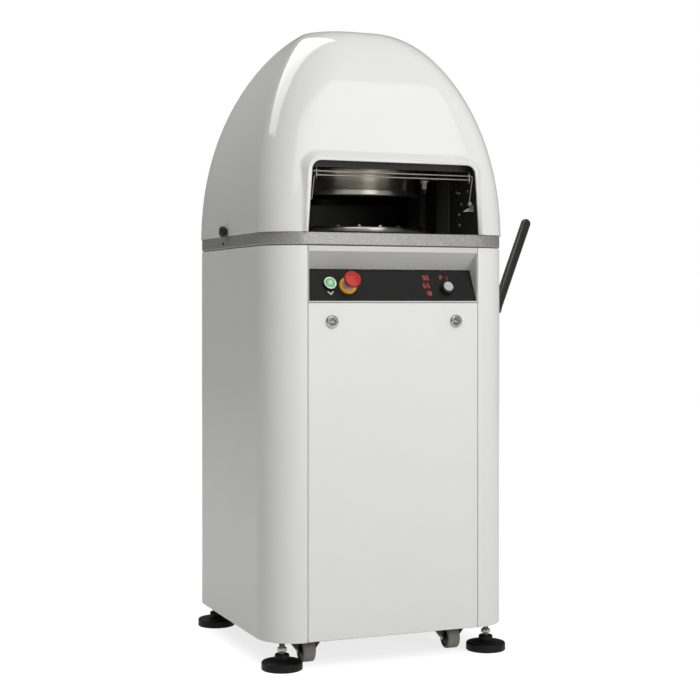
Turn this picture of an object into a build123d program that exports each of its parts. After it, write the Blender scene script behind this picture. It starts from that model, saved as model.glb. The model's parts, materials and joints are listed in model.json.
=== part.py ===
from build123d import *
import math
import os

# Dough divider rounder, free-standing.
# Frame: origin on the floor under the middle of the cabinet, +X to the right seen from the front,
# the front faces -Y, +Z up. All sizes are in millimetres.

# Cabinet of folded sheet
cabinet_width = 620.0
cabinet_depth = 606.0
corner_radius = 90.0
floor_gap = 65.5
reveal_gap = 2.5
sheet = 2.0
bay_margin = 3.0
seam_gap = 1.5
return_flange = 14.0
base_thickness = 8.0
base_inset = 3.5
post_size = 40.0
post_wall = 3.0
post_gap = 42.0
post_setback = 48.0

# Table casting between the cabinet and the hood
casting_height = 29.0
casting_wall = 14.0
casting_edge = 2.5
deck_thickness = 12.0
deck_opening_gap = 11.0

# Hood: a moulded dome with rounded corners and a straight ridge
hood_height = 505.0
hood_wall = 5.0
hood_ridge_half_width = 114.9
hood_ridge_half_depth = 55.5
hood_corner_radius = 81.3
hood_corner_growth = 0.398
hood_side_rise = 2.25
hood_side_fall = 1.292
hood_front_rise = 1.964
hood_front_fall = 2.523
hood_ridge_roundness = 0.96
hood_sections = 12

# Loading opening in the front of the hood, with a rim that flares out of the dome
mouth_taper = 11.0
mouth_height = 164.0
mouth_corner_radius = 22.0
mouth_skirt = 14.0
rim_rise = 6.0
rim_width = 9.0
rim_thickness = 5.0
rim_undercut = 6.0
rim_flare = 29.0
rim_flare_depth = 40.0
rim_blend_radius = 9.0
rim_edge_radius = 2.0

# Knobs that hold the hood down, one on each side
knob_y = 15.0
knob_rise = 12.0
knob_radius = 13.5
knob_thickness = 16.0
knob_collar_radius = 9.0
knob_collar_height = 4.0
knob_stud_radius = 5.0
knob_slot_clearance = 1.0
lug_thickness = 14.0
lug_width = 34.0
lug_height = 30.0
lug_gap = 0.8

# Front panel with two quarter-turn locks
front_panel_height = 773.5
panel_foot_gap = 1.0
lock_spacing = 316.0
lock_drop = 43.0
lock_head_radius = 15.0
lock_head_height = 5.0
lock_barrel_radius = 10.0
lock_barrel_length = 18.0
lock_slot_width = 3.0
lock_slot_depth = 2.0
lock_slot_length = 14.0
lock_cam_length = 34.0
lock_cam_width = 16.0
lock_cam_thickness = 3.0

# Rear panel
louvre_width = 130.0
louvre_height = 7.0
louvre_pitch = 20.0
louvre_rows = 9
louvre_spacing = 190.0
louvre_bottom = 430.0
gland_x = 150.0
gland_height = 75.0
gland_radius = 11.0
gland_length = 30.0
gland_bore_radius = 5.0
gland_nut_radius = 15.0
gland_nut_thickness = 7.0

# Control console: a V-shaped recess under the casting
console_lip_height = 12.0
console_vertex_depth = 39.0
console_ceiling_drop = 40.5
console_face_drop = 74.0
console_face_setback = 2.0
console_ledge_rise = 3.5
console_ledge_depth = 17.0
console_catch_height = 32.0
console_panel_thickness = 3.0
console_panel_margin = 1.5

# Controls, placed on the sloping panel: x across, s up the slope from its front edge
start_x = -157.0
start_s = 42.0
start_body_radius = 15.0
start_body_height = 11.0
start_cap_radius = 11.0
start_cap_height = 1.5
start_travel = 3.0
estop_x = -112.0
estop_s = 38.0
estop_collar_radius = 21.0
estop_collar_height = 8.0
estop_neck_radius = 14.5
estop_neck_height = 18.0
estop_stem_radius = 7.0
estop_head_radius = 20.0
estop_head_height = 16.0
estop_head_lift = 24.0
estop_travel = 4.0
dial_x = 139.0
dial_s = 30.5
dial_radius = 15.5
dial_height = 16.0
dial_cap_radius = 12.5
dial_cap_height = 3.0
dial_shaft_radius = 3.0
switch_barrel_radius = 11.0
switch_depth = 40.0
button_gap = 0.3
display_width = 26.0
display_height = 17.0
display_column_x = 91.0
display_row_s = 20.0
display_row_pitch = 20.6
display_second_x = 139.0
board_thickness = 2.0
board_standoff = 8.0
board_width = 120.0

# Working chamber inside the hood
liner_thickness = 3.0
liner_side_setback = 60.0
liner_front_setback = 45.0
liner_rear_setback = 71.0
liner_height = 190.0
wing_gap = 11.0
wing_front_setback = 22.0
wing_column_gap = 8.0
visor_setback = 35.0
visor_overlap = 12.0
visor_height = 44.0

# Hand guard of bent wire
guard_wire_radius = 2.25
guard_side_gap = 5.0
guard_pivot_setback = 29.0
guard_pivot_rise = 75.0
guard_height = 65.0
guard_lean = 22.0
guard_bend_radius = 8.0
guard_rod_drop = 9.0
guard_clamp_size = 8.0
guard_clamp_offset = 14.0
guard_pivot_clearance = 0.08

# Dividing head
head_ring_radius = 178.0
head_ring_wall = 8.0
head_ring_height = 52.0
head_rest_rise = 95.0
head_bead_height = 10.0
head_bead_out = 3.0
head_plate_radius = 200.0
head_plate_thickness = 12.0
head_travel = 72.0
press_setback = 14.0
press_thickness = 16.0
press_post_radius = 6.0
division_inner_radii = (65.0, 118.0)
press_ring_gap = 2.0
division_counts = (4, 10, 16)
blade_thickness = 2.0
blade_gap = 1.0
blade_setback = 2.0
blade_top_gap = 2.0
blade_travel = 15.0
knife_rod_radius = 5.0
knife_rod_count = 3
knife_rod_length = 56.0
column_width = 70.0
column_thickness = 18.0
column_setback = 73.0
column_y = 85.0
bridge_rise = 287.0
bridge_thickness = 16.0
cylinder_radius = 45.0
cylinder_bore_radius = 32.0
cylinder_height = 134.0
cylinder_end = 8.0
piston_rod_radius = 16.0
piston_thickness = 22.0
sensor_x = 147.0
sensor_y = -150.0
sensor_radius = 6.0
sensor_length = 41.0
sensor_rise = 106.0
sensor_arm_width = 16.0

# Rounding table, its cranks and drive
crank_offset = 8.0
table_radius = 195.0
table_thickness = 23.0
table_rise = 3.0
plate_overhang = 9.0
plate_thickness = 17.7
plate_gap = 0.3
plate_rim_radius = 6.0
pocket_depth = 3.5
pocket_radii = (36.0, 92.0, 146.0)
pocket_sizes = (20.0, 24.0, 25.0)
drive_plate_drop = 86.0
drive_plate_thickness = 12.0
drive_plate_depth = 120.0
drive_plate_width = 460.0
bearing_radius = 40.0
bearing_height = 49.0
idler_bearing_radius = 24.0
idler_spacing = 260.0
shaft_radius = 20.0
crank_disc_radius = 36.0
crank_disc_thickness = 10.0
crank_disc_gap = 4.0
crank_pin_radius = 14.0
crank_pin_end = 8.0
idler_shaft_radius = 10.0
idler_disc_radius = 24.0
idler_pin_radius = 8.0
pulley_groove_radius = 88.0
pulley_flange_radius = 96.0
pulley_width = 26.0
pulley_flange = 4.0
pulley_drop = 17.0
motor_y = 195.0
motor_pulley_groove_radius = 26.0
motor_pulley_flange_radius = 34.0
motor_shaft_radius = 9.0
motor_radius = 55.0
motor_length = 200.0
motor_plate_thickness = 8.0
motor_plate_gap = 4.0
motor_plate_depth = 110.0
motor_shaft_seat = 30.0
belt_thickness = 7.0
belt_gap = 0.4
belt_side_gap = 1.0

# Hydraulic unit and electrical box on the base
tank_width = 200.0
tank_depth = 260.0
tank_height = 200.0
tank_x = -70.0
tank_y = 20.0
pump_radius = 60.0
pump_height = 170.0
box_width = 120.0
box_depth = 200.0
box_height = 320.0
box_x = 105.0
box_y = -60.0

# Hand lever on the right side
lever_setback = 23.0
lever_drop = 143.5
lever_hub_radius = 14.0
lever_hub_width = 20.0
lever_bar_width = 24.0
lever_bar_thickness = 14.0
lever_bar_rise = 222.0
lever_bar_reach = 85.5
lever_edge_radius = 5.0
lever_shaft_radius = 9.0
lever_shaft_inside = 48.0
lever_bush_radius = 14.0
lever_bush_flange_radius = 20.0
lever_bush_flange = 4.0
lever_bush_depth = 14.0
lever_hub_gap = 1.0
lever_crank_length = 55.0
lever_crank_width = 18.0
lever_crank_thickness = 10.0

# Levelling feet
foot_inset = 48.0
foot_radius = 47.5
foot_rim_height = 19.0
foot_cone_radius = 21.0
foot_cone_height = 24.5
foot_neck_radius = 17.0
foot_height = 36.0
foot_edge = 4.0
stem_radius = 7.0
stem_socket_depth = 16.0
stem_above_base = 30.0
stem_nut_radius = 11.5
stem_nut_bottom = 41.0
stem_nut_height = 9.0

# Casters
caster_inset_x = 123.0
caster_inset_y = 101.0
caster_plate_radius = 36.0
caster_plate_thickness = 4.0
caster_race_radius = 22.0
caster_race_height = 2.0
caster_king_radius = 5.0
caster_crown_radius = 34.0
caster_crown_low_radius = 22.0
caster_crown_depth = 13.0
caster_crown_thickness = 3.7
caster_race_gap = 0.3
caster_lead = 10.0
caster_leg_thickness = 3.0
caster_leg_width = 26.0
wheel_radius = 26.0
wheel_width = 32.0
wheel_floor_gap = 1.0
wheel_edge = 5.0
wheel_side_gap = 2.0
axle_radius = 4.0

# Radial clearance of every turning or sliding fit
running_clearance = 0.05

# Levels and planes worked out from the sizes above
front_y = -cabinet_depth / 2
side_x = cabinet_width / 2
bay_half = side_x - corner_radius - bay_margin
cover_half = bay_half - seam_gap
base_top = floor_gap + base_thickness
front_panel_bottom = floor_gap + panel_foot_gap
front_panel_top = front_panel_bottom + front_panel_height
lock_z = front_panel_top - lock_drop

ledge_z = front_panel_top + seam_gap
face_y = front_y + console_face_setback
face_z = ledge_z + console_ledge_rise
vertex_y = front_y + console_vertex_depth
vertex_z = face_z + console_face_drop
lip_z = vertex_z + console_ceiling_drop
panel_top = lip_z + console_lip_height
casting_bottom = panel_top + reveal_gap
deck_top = casting_bottom + casting_height
deck_bottom = deck_top - deck_thickness
face_run = vertex_y - face_y
face_length = math.hypot(face_run, console_face_drop)
face_plane = Plane(
    origin=(0, face_y, face_z),
    x_dir=(1, 0, 0),
    z_dir=(0, -console_face_drop / face_length, face_run / face_length),
)

mouth_bottom_half = bay_half
mouth_top_half = mouth_bottom_half - mouth_taper
mouth_top = deck_top + mouth_height
rim_y = front_y - rim_rise
liner_half_width = side_x - liner_side_setback
liner_front_y = front_y + liner_front_setback
liner_rear_y = -front_y - liner_rear_setback
wing_half_width = mouth_bottom_half + wing_gap
wing_front_y = front_y + wing_front_setback
wing_rear_y = -column_y - column_width / 2 - wing_column_gap
visor_y = front_y + visor_setback
visor_low = mouth_top - visor_overlap
guard_half_width = mouth_top_half - guard_side_gap
guard_pivot_y = front_y + guard_pivot_setback

press_radius = head_ring_radius - head_ring_wall - press_ring_gap
division_radii = (*division_inner_radii, press_radius)
column_x = side_x - column_setback
head_bottom = deck_top + head_rest_rise
head_plate_bottom = head_bottom + head_ring_height
head_plate_top = head_plate_bottom + head_plate_thickness
press_bottom = head_bottom + press_setback
press_top = press_bottom + press_thickness
blade_bottom = press_bottom + blade_setback
blade_top = head_plate_bottom - blade_top_gap
bridge_bottom = deck_top + bridge_rise
bridge_top = bridge_bottom + bridge_thickness

deck_opening_radius = table_radius + crank_offset + deck_opening_gap
plate_radius = table_radius + plate_overhang
table_top = deck_top + table_rise
table_bottom = table_top - table_thickness
plate_bottom = table_top + plate_gap
plate_top = plate_bottom + plate_thickness
drive_plate_bottom = deck_bottom - drive_plate_drop
drive_plate_top = drive_plate_bottom + drive_plate_thickness
bearing_top = drive_plate_top + bearing_height
crank_disc_bottom = bearing_top + crank_disc_gap
crank_disc_top = crank_disc_bottom + crank_disc_thickness
crank_pin_top = table_top - crank_pin_end
pulley_top = drive_plate_bottom - pulley_drop
pulley_bottom = pulley_top - pulley_width
motor_plate_top = pulley_bottom - motor_plate_gap
idler_half = idler_spacing / 2

guard_pivot_z = deck_top + guard_pivot_rise
guard_top_y = guard_pivot_y - guard_lean
guard_top_z = guard_pivot_z + guard_height
lever_y = front_y + corner_radius + lever_setback
lever_z = panel_top - lever_drop
foot_x = side_x - foot_inset
foot_y = -front_y - foot_inset
stem_top = base_top + stem_above_base
caster_x = side_x - caster_inset_x
caster_y = -front_y - caster_inset_y
caster_race_bottom = floor_gap - caster_plate_thickness - caster_race_height
crown_top = caster_race_bottom - caster_race_gap
crown_bottom = crown_top - caster_crown_thickness
wheel_z = wheel_floor_gap + wheel_radius

LOW = (Align.CENTER, Align.CENTER, Align.MIN)


def block(x_low, x_high, y_low, y_high, z_low, z_high):
    """A box between two corners."""
    middle = ((x_low + x_high) / 2, (y_low + y_high) / 2, (z_low + z_high) / 2)
    return Pos(*middle) * Box(x_high - x_low, y_high - y_low, z_high - z_low)


def post(x, y, z_low, z_high, radius):
    """An upright cylinder between two levels."""
    return Pos(x, y, z_low) * Cylinder(radius, z_high - z_low, align=LOW)


def rod_x(x_low, x_high, y, z, radius):
    """A cylinder along X."""
    plane = Plane(origin=(x_low, y, z), z_dir=(1, 0, 0))
    return plane * Cylinder(radius, x_high - x_low, align=LOW)


def rod_y(y_low, y_high, x, z, radius):
    """A cylinder along Y."""
    plane = Plane(origin=(x, y_low, z), z_dir=(0, 1, 0))
    return plane * Cylinder(radius, y_high - y_low, align=LOW)


def on_face(x, s, low, high, radius):
    """A cylinder square to the sloping control panel, from one height over it to another."""
    return face_plane * Pos(x, s, low) * Cylinder(radius, high - low, align=LOW)


def face_block(x, s, width, height, low, high):
    """A box square to the sloping control panel."""
    return face_plane * Pos(x, s, low) * Box(width, height, high - low, align=LOW)


def cabinet_slab(inset, z_low, z_high):
    """The cabinet's rounded outline, drawn in by inset, between two levels."""
    outline = RectangleRounded(
        cabinet_width - 2 * inset, cabinet_depth - 2 * inset, corner_radius - inset
    )
    return extrude(Pos(0, 0, z_low) * outline, z_high - z_low)


def group(*pieces):
    """Separate solids that share one node."""
    return Compound(children=list(pieces))


# Cabinet


def make_base_plate():
    """Floor of the cabinet, with holes for the foot stems."""
    plate = cabinet_slab(base_inset, floor_gap, base_top)
    for x in (-foot_x, foot_x):
        for y in (-foot_y, foot_y):
            plate -= post(x, y, floor_gap, base_top, stem_radius + running_clearance)
    return plate


def make_frame_posts():
    """Four square tubes that carry the table casting."""
    posts = []
    x = bay_half - post_gap + post_size / 2
    y = cabinet_depth / 2 - post_setback - post_size / 2
    tube = Rectangle(post_size, post_size)
    tube -= Rectangle(post_size - 2 * post_wall, post_size - 2 * post_wall)
    for x_sign in (-1, 1):
        for y_sign in (-1, 1):
            place = Pos(x_sign * x, y_sign * y, base_top)
            posts.append(extrude(place * tube, deck_bottom - base_top))
    return group(*posts)


def make_side_panel(sign):
    """One side of the cabinet, wrapped round both corners, with folded-in edges."""
    wrap = cabinet_slab(0, floor_gap, panel_top) - cabinet_slab(sheet, floor_gap, panel_top)
    for z_low in (base_top, panel_top - sheet):
        ring = cabinet_slab(sheet, z_low, z_low + sheet)
        wrap += ring - cabinet_slab(return_flange, z_low, z_low + sheet)
    outside = sign * (side_x + sheet)
    half = block(
        min(sign * bay_half, outside),
        max(sign * bay_half, outside),
        -cabinet_depth,
        cabinet_depth,
        floor_gap,
        panel_top,
    )
    panel = wrap & half
    x_edges = sorted((sign * bay_half, sign * (bay_half + sheet)))
    for y_low, y_high in (
        (front_y, front_y + return_flange),
        (-front_y - return_flange, -front_y),
    ):
        panel += block(*x_edges, y_low, y_high, base_top, panel_top)
    return panel


def make_right_side_panel():
    """The right side panel, with a hole for the lever's bush."""
    hole = rod_x(side_x - sheet, side_x, lever_y, lever_z, lever_bush_radius)
    return make_side_panel(1) - hole


def make_cover_sheet(z_low, z_high):
    """A flat cover in the front bay, with folded-back side and top edges."""
    cover = block(-cover_half, cover_half, front_y, front_y + sheet, z_low, z_high)
    back = front_y + return_flange
    for sign in (-1, 1):
        edges = sorted((sign * cover_half, sign * (cover_half - sheet)))
        cover += block(*edges, front_y, back, base_top + sheet, z_high)
    cover += block(-cover_half, cover_half, front_y, back, z_high - sheet, z_high)
    return cover


def make_front_panel():
    """Front panel with the two lock holes."""
    panel = make_cover_sheet(front_panel_bottom, front_panel_top)
    for sign in (-1, 1):
        panel -= rod_y(
            front_y, front_y + sheet, sign * lock_spacing / 2, lock_z, lock_barrel_radius
        )
    return panel


def make_rear_panel():
    """Rear panel: the same folded cover turned round, with louvres and a cable hole."""
    panel = make_cover_sheet(front_panel_bottom, panel_top)
    for side in (-1, 1):
        for row in range(louvre_rows):
            z = louvre_bottom + row * louvre_pitch
            x = side * louvre_spacing / 2
            panel -= block(
                x - louvre_width / 2,
                x + louvre_width / 2,
                front_y,
                front_y + sheet,
                z,
                z + louvre_height,
            )
    panel -= rod_y(front_y, front_y + sheet, -gland_x, floor_gap + gland_height, gland_radius)
    return Rot(0, 0, 180) * panel


def make_cable_gland():
    """Cable gland through the rear panel, with its bore open."""
    z = floor_gap + gland_height
    rear = -front_y
    gland = rod_y(rear - sheet - gland_nut_thickness, rear + gland_length, gland_x, z, gland_radius)
    for y_low in (rear - sheet - gland_nut_thickness, rear):
        flat = Plane(origin=(gland_x, y_low, z), z_dir=(0, 1, 0))
        gland += extrude(flat * RegularPolygon(gland_nut_radius, 6), gland_nut_thickness)
    return gland - rod_y(
        rear - sheet - gland_nut_thickness, rear + gland_length, gland_x, z, gland_bore_radius
    )


def make_lock(sign):
    """A quarter-turn lock: slotted head, barrel and a cam that lies flat when open."""
    x = sign * lock_spacing / 2
    gap = running_clearance
    head_front = front_y - gap - lock_head_height
    head = rod_y(head_front, front_y - gap, x, lock_z, lock_head_radius)
    head = fillet(head.faces().sort_by(Axis.Y)[0].edges(), lock_head_height / 2)
    back = front_y + lock_barrel_length
    lock = head + rod_y(front_y - gap, back, x, lock_z, lock_barrel_radius - gap)
    lock -= block(
        x - lock_slot_length / 2,
        x + lock_slot_length / 2,
        head_front,
        head_front + lock_slot_depth,
        lock_z - lock_slot_width / 2,
        lock_z + lock_slot_width / 2,
    )
    reach = x - sign * lock_cam_length
    half = lock_cam_width / 2
    lock += block(
        min(x, reach), max(x, reach), back, back + lock_cam_thickness, lock_z - half, lock_z + half
    )
    return lock


# Table casting and hood


def make_table_casting():
    """Cast table: a rim, a deck with a round opening, and a lug for each hood knob."""
    casting = cabinet_slab(0, casting_bottom, deck_top)
    rim_edges = casting.faces().sort_by(Axis.Z)[-1].edges()
    rim_edges += casting.faces().sort_by(Axis.Z)[0].edges()
    casting = fillet(rim_edges, casting_edge)
    casting -= cabinet_slab(casting_wall, casting_bottom, deck_bottom)
    casting -= post(0, 0, deck_bottom, deck_top, deck_opening_radius)
    z = deck_top + knob_rise
    for sign in (-1, 1):
        outer = sign * (side_x - hood_wall - lug_gap)
        inner = outer - sign * lug_thickness
        edges = sorted((outer, inner))
        lug = block(
            *edges,
            knob_y - lug_width / 2,
            knob_y + lug_width / 2,
            deck_top - deck_thickness,
            deck_top + lug_height,
        )
        lug -= rod_x(*edges, knob_y, z, knob_stud_radius + running_clearance)
        casting += lug
    return casting


def hood_section(share, inset):
    """One level outline of the hood; share runs from 0 at the base to 1 at the ridge."""
    rise = math.sin(share * math.pi / 2)
    width_span = cabinet_width / 2 - hood_ridge_half_width
    depth_span = cabinet_depth / 2 - hood_ridge_half_depth
    side = max(0.0, 1 - rise**hood_side_rise) ** (1 / hood_side_fall)
    front = max(0.0, 1 - rise**hood_front_rise) ** (1 / hood_front_fall)
    half_width = hood_ridge_half_width + width_span * side - inset
    half_depth = hood_ridge_half_depth + depth_span * front - inset
    corner = hood_corner_radius * (1 + hood_corner_growth * rise) - inset
    corner = min(corner, hood_ridge_roundness * min(half_width, half_depth))
    level = deck_top + rise * (hood_height - inset)
    return Pos(0, 0, level) * RectangleRounded(2 * half_width, 2 * half_depth, corner)


def hood_solid(inset):
    """The whole dome, drawn in by inset."""
    shares = [step / hood_sections for step in range(hood_sections + 1)]
    return loft([hood_section(share, inset) for share in shares])


def mouth_outline(margin, y):
    """The loading opening's outline, grown by margin, upright at one depth and facing front."""
    low = deck_top - mouth_skirt
    lean = mouth_taper / mouth_height
    bottom = mouth_bottom_half + lean * mouth_skirt + margin
    top = mouth_top_half + margin
    high = mouth_top + margin
    outline = Polyline((-bottom, low), (-top, high), (top, high), (bottom, low), close=True)
    shape = make_face(outline)
    corners = shape.vertices().filter_by_position(Axis.Y, high - 1, high + 1)
    shape = fillet(corners, mouth_corner_radius + margin)
    return Plane(origin=(0, y, 0), x_dir=(1, 0, 0), z_dir=(0, -1, 0)) * shape


def make_flare():
    """The rim round the loading opening: it widens back into the dome and stops at the deck."""
    wide = mouth_outline(rim_width + rim_flare, rim_y + rim_flare_depth)
    flare = loft([wide, mouth_outline(rim_width, rim_y)], ruled=True)
    return flare - block(-side_x, side_x, rim_y, 0, deck_top - 2 * mouth_skirt, deck_top)


def make_hood():
    """Hood shell with the flared rim of its loading opening and a slot for each side knob."""
    dome = hood_solid(0)
    flare = make_flare()
    shell = dome + flare
    seam = new_edges(dome, flare, combined=shell)
    seam = seam.filter_by(lambda edge: edge.center().Z > deck_top + reveal_gap)
    shell = fillet(seam, rim_blend_radius)
    inside = front_y + cabinet_depth / 4
    shell -= extrude(mouth_outline(0, inside), inside - rim_y)
    front = shell.edges().group_by(Axis.Y)[0]
    front = front.filter_by(lambda edge: edge.center().Z > deck_top + reveal_gap)
    shell = fillet(front, rim_edge_radius)
    hood = shell - hood_solid(hood_wall)
    hood -= extrude(mouth_outline(rim_undercut, inside), inside - rim_y - rim_thickness)
    slot = knob_stud_radius + knob_slot_clearance
    z = deck_top + knob_rise
    for sign in (-1, 1):
        edges = sorted((sign * (side_x - 2 * hood_wall), sign * (side_x + hood_wall)))
        hood -= rod_x(*edges, knob_y, z, slot)
        hood -= block(*edges, knob_y - slot, knob_y + slot, deck_top - slot, z)
    return hood


def make_hood_knob(sign):
    """Screw knob: a round grip, a collar against the hood and a stud in the casting's lug."""
    z = deck_top + knob_rise
    seat = side_x + knob_slot_clearance
    collar_end = seat + knob_collar_height
    grip_end = seat + knob_thickness
    inner = side_x - hood_wall - lug_gap - lug_thickness
    grip = rod_x(collar_end, grip_end, knob_y, z, knob_radius)
    ends = grip.faces().filter_by(GeomType.PLANE).edges()
    grip = fillet(ends, knob_collar_height / 2)
    knob = grip + rod_x(seat, collar_end, knob_y, z, knob_collar_radius)
    knob += rod_x(inner, seat, knob_y, z, knob_stud_radius)
    return knob if sign > 0 else mirror(knob, Plane.YZ)


# Console and controls


def sloped(points):
    """A solid across the bay from an outline in the YZ plane."""
    plane = Plane(origin=(-cover_half, 0, 0), x_dir=(0, 1, 0), z_dir=(1, 0, 0))
    return extrude(plane * make_face(Polyline(*points, close=True)), 2 * cover_half)


def make_console_sheet():
    """White folded sheet round the recess: top strip, ceiling, cheeks, ledge and lock catch."""
    strip = block(-cover_half, cover_half, front_y, front_y + sheet, lip_z, panel_top)
    ceiling = sloped(
        [
            (front_y, lip_z),
            (vertex_y, vertex_z),
            (vertex_y + sheet, vertex_z),
            (vertex_y + sheet, vertex_z + sheet),
            (front_y + sheet, lip_z + sheet),
            (front_y, lip_z + sheet),
        ]
    )
    ledge_back = front_y + console_ledge_depth
    ledge = sloped(
        [
            (front_y, ledge_z),
            (ledge_back, ledge_z),
            (ledge_back, ledge_z + sheet),
            (face_y, face_z),
            (front_y, face_z),
        ]
    )
    catch = block(
        -cover_half,
        cover_half,
        ledge_back - sheet,
        ledge_back,
        ledge_z - console_catch_height,
        ledge_z + sheet,
    )
    cheek = sloped([(front_y, lip_z), (vertex_y, vertex_z), (face_y, face_z), (front_y, face_z)])
    core = cover_half - sheet
    cheek -= block(-core, core, front_y, vertex_y, face_z, lip_z)
    return strip + ceiling + ledge + catch + cheek


def make_control_panel():
    """Black sloping panel with holes for the controls and windows for the displays."""
    width = 2 * (cover_half - sheet - console_panel_margin)
    length = face_length - 2 * console_panel_margin
    middle = face_length / 2
    panel = face_block(0, middle, width, length, -console_panel_thickness, 0)
    holes = (
        (start_x, start_s, switch_barrel_radius),
        (estop_x, estop_s, switch_barrel_radius),
        (dial_x, dial_s, dial_shaft_radius + running_clearance),
    )
    for x, s, radius in holes:
        panel -= on_face(x, s, -console_panel_thickness, 0, radius)
    for x, s in display_places():
        panel -= face_block(x, s, display_width, display_height, -console_panel_thickness, 0)
    return panel


def display_places():
    """Centres of the display windows: a column of three and one beside the top one."""
    places = [
        (display_column_x, display_row_s + row * display_row_pitch) for row in range(3)
    ]
    places.append((display_second_x, display_row_s + 2 * display_row_pitch))
    return places


def make_control_board():
    """Circuit board behind the panel, with one display block in each window."""
    top = -console_panel_thickness - board_standoff
    low = top - board_thickness
    middle_x = (display_column_x + display_second_x) / 2
    middle_s = display_row_s + display_row_pitch
    height = 2 * display_row_pitch + display_height
    board = face_block(middle_x, middle_s, board_width, height, low, top)
    for x, s in display_places():
        board += face_block(x, s, display_width, display_height, low, 0)
    return board - on_face(dial_x, dial_s, low, top, dial_shaft_radius + running_clearance)


def make_start_button_body():
    """Start button's round body, with its barrel and contact block behind the panel."""
    body = on_face(start_x, start_s, 0, start_body_height, start_body_radius)
    body = fillet(body.faces().sort_by(Axis.Z)[-1].edges(), start_cap_height)
    body += on_face(start_x, start_s, -switch_depth, 0, switch_barrel_radius)
    bore = start_cap_radius + button_gap
    floor = start_body_height - start_travel - start_cap_height - button_gap
    return body - on_face(start_x, start_s, floor, start_body_height, bore)


def make_start_button_cap():
    """Green lens that travels in the start button's body."""
    low = start_body_height - start_cap_height
    high = start_body_height + start_travel
    cap = on_face(start_x, start_s, low, high, start_cap_radius)
    return fillet(cap.faces().sort_by(Axis.Z)[-1].edges(), start_cap_height)


def make_estop_collar():
    """Yellow collar with the fixed neck, the barrel and the contact block."""
    collar = on_face(estop_x, estop_s, 0, estop_collar_height, estop_collar_radius)
    collar = fillet(collar.faces().sort_by(Axis.Z)[-1].edges(), start_cap_height)
    collar += on_face(estop_x, estop_s, estop_collar_height, estop_neck_height, estop_neck_radius)
    collar += on_face(estop_x, estop_s, -switch_depth, 0, switch_barrel_radius)
    bore = estop_stem_radius + running_clearance
    return collar - on_face(estop_x, estop_s, -switch_depth / 2, estop_neck_height, bore)


def make_estop_stem():
    """Plunger that carries the emergency-stop head."""
    low = estop_travel + button_gap - switch_depth / 2
    high = estop_head_lift + estop_head_height / 2
    return on_face(estop_x, estop_s, low, high, estop_stem_radius)


def make_estop_head():
    """Red mushroom head, turned on its plunger to release it."""
    high = estop_head_lift + estop_head_height
    head = on_face(estop_x, estop_s, estop_head_lift, high, estop_head_radius)
    head = fillet(head.edges().filter_by(GeomType.CIRCLE), estop_head_height / 5)
    bore = estop_stem_radius + running_clearance
    socket = estop_head_lift + estop_head_height / 2 + button_gap
    return head - on_face(estop_x, estop_s, estop_head_lift, socket, bore)


def make_dial_knob():
    """Black dial body with its spindle through the panel."""
    knob = on_face(dial_x, dial_s, button_gap, dial_height, dial_radius)
    knob = fillet(knob.faces().sort_by(Axis.Z)[-1].edges(), start_cap_height)
    reach = -console_panel_thickness - board_standoff - board_thickness
    return knob + on_face(dial_x, dial_s, reach, button_gap, dial_shaft_radius)


def make_dial_cap():
    """Light grey cap on the dial."""
    cap = on_face(dial_x, dial_s, dial_height, dial_height + dial_cap_height, dial_cap_radius)
    return fillet(cap.faces().sort_by(Axis.Z)[-1].edges(), dial_cap_height / 3)


# Working chamber


def make_chamber_liner():
    """Dark plates round the working chamber: sides, back, front wings and the visor."""
    high = deck_top + liner_height
    plates = []
    for sign in (-1, 1):
        side = sorted((sign * liner_half_width, sign * (liner_half_width - liner_thickness)))
        plates.append(block(*side, liner_front_y, liner_rear_y, deck_top, high))
        wing_edges = sorted((sign * wing_half_width, sign * (wing_half_width + liner_thickness)))
        wing = block(*wing_edges, wing_front_y, wing_rear_y, deck_top, mouth_top)
        hole = guard_wire_radius + guard_pivot_clearance
        plates.append(wing - rod_x(*wing_edges, guard_pivot_y, guard_pivot_z, hole))
    plates.append(
        block(
            -liner_half_width,
            liner_half_width,
            liner_rear_y,
            liner_rear_y + liner_thickness,
            deck_top,
            high,
        )
    )
    plates.append(
        block(
            -wing_half_width,
            wing_half_width,
            visor_y,
            visor_y + liner_thickness,
            visor_low,
            visor_low + visor_height,
        )
    )
    return group(*plates)


def make_guard_bail():
    """Bent wire guard with a second rod and two clamps, on two outward pivots."""
    end = wing_half_width + liner_thickness
    half = guard_half_width
    corners = [
        (-end, guard_pivot_y, guard_pivot_z),
        (-half, guard_pivot_y, guard_pivot_z),
        (-half, guard_top_y, guard_top_z),
        (half, guard_top_y, guard_top_z),
        (half, guard_pivot_y, guard_pivot_z),
        (end, guard_pivot_y, guard_pivot_z),
    ]
    path = FilletPolyline(*corners, radius=guard_bend_radius)
    start = Plane(origin=corners[0], z_dir=(1, 0, 0))
    bail = sweep(start * Circle(guard_wire_radius), path=path)
    rod_z = guard_top_z - guard_rod_drop
    rod_y_place = guard_top_y + guard_rod_drop * guard_lean / guard_height
    bail += rod_x(-half, half, rod_y_place, rod_z, guard_wire_radius)
    size = guard_clamp_size / 2
    for sign in (-1, 1):
        x = sign * (half - guard_clamp_offset)
        bail += block(
            x - size,
            x + size,
            guard_top_y - size,
            rod_y_place + size,
            rod_z - size,
            guard_top_z + size,
        )
    return bail


def make_proximity_sensor():
    """Threaded sensor hanging from an arm on the right wing."""
    top = deck_top + sensor_rise + sensor_length
    half = sensor_arm_width / 2
    arm_low = top - sensor_radius - liner_thickness
    sensor = post(sensor_x, sensor_y, deck_top + sensor_rise, top, sensor_radius)
    arm = block(
        sensor_x,
        wing_half_width,
        sensor_y - half,
        sensor_y + half,
        arm_low,
        arm_low + liner_thickness,
    )
    return sensor + arm


# Dividing head


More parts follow.
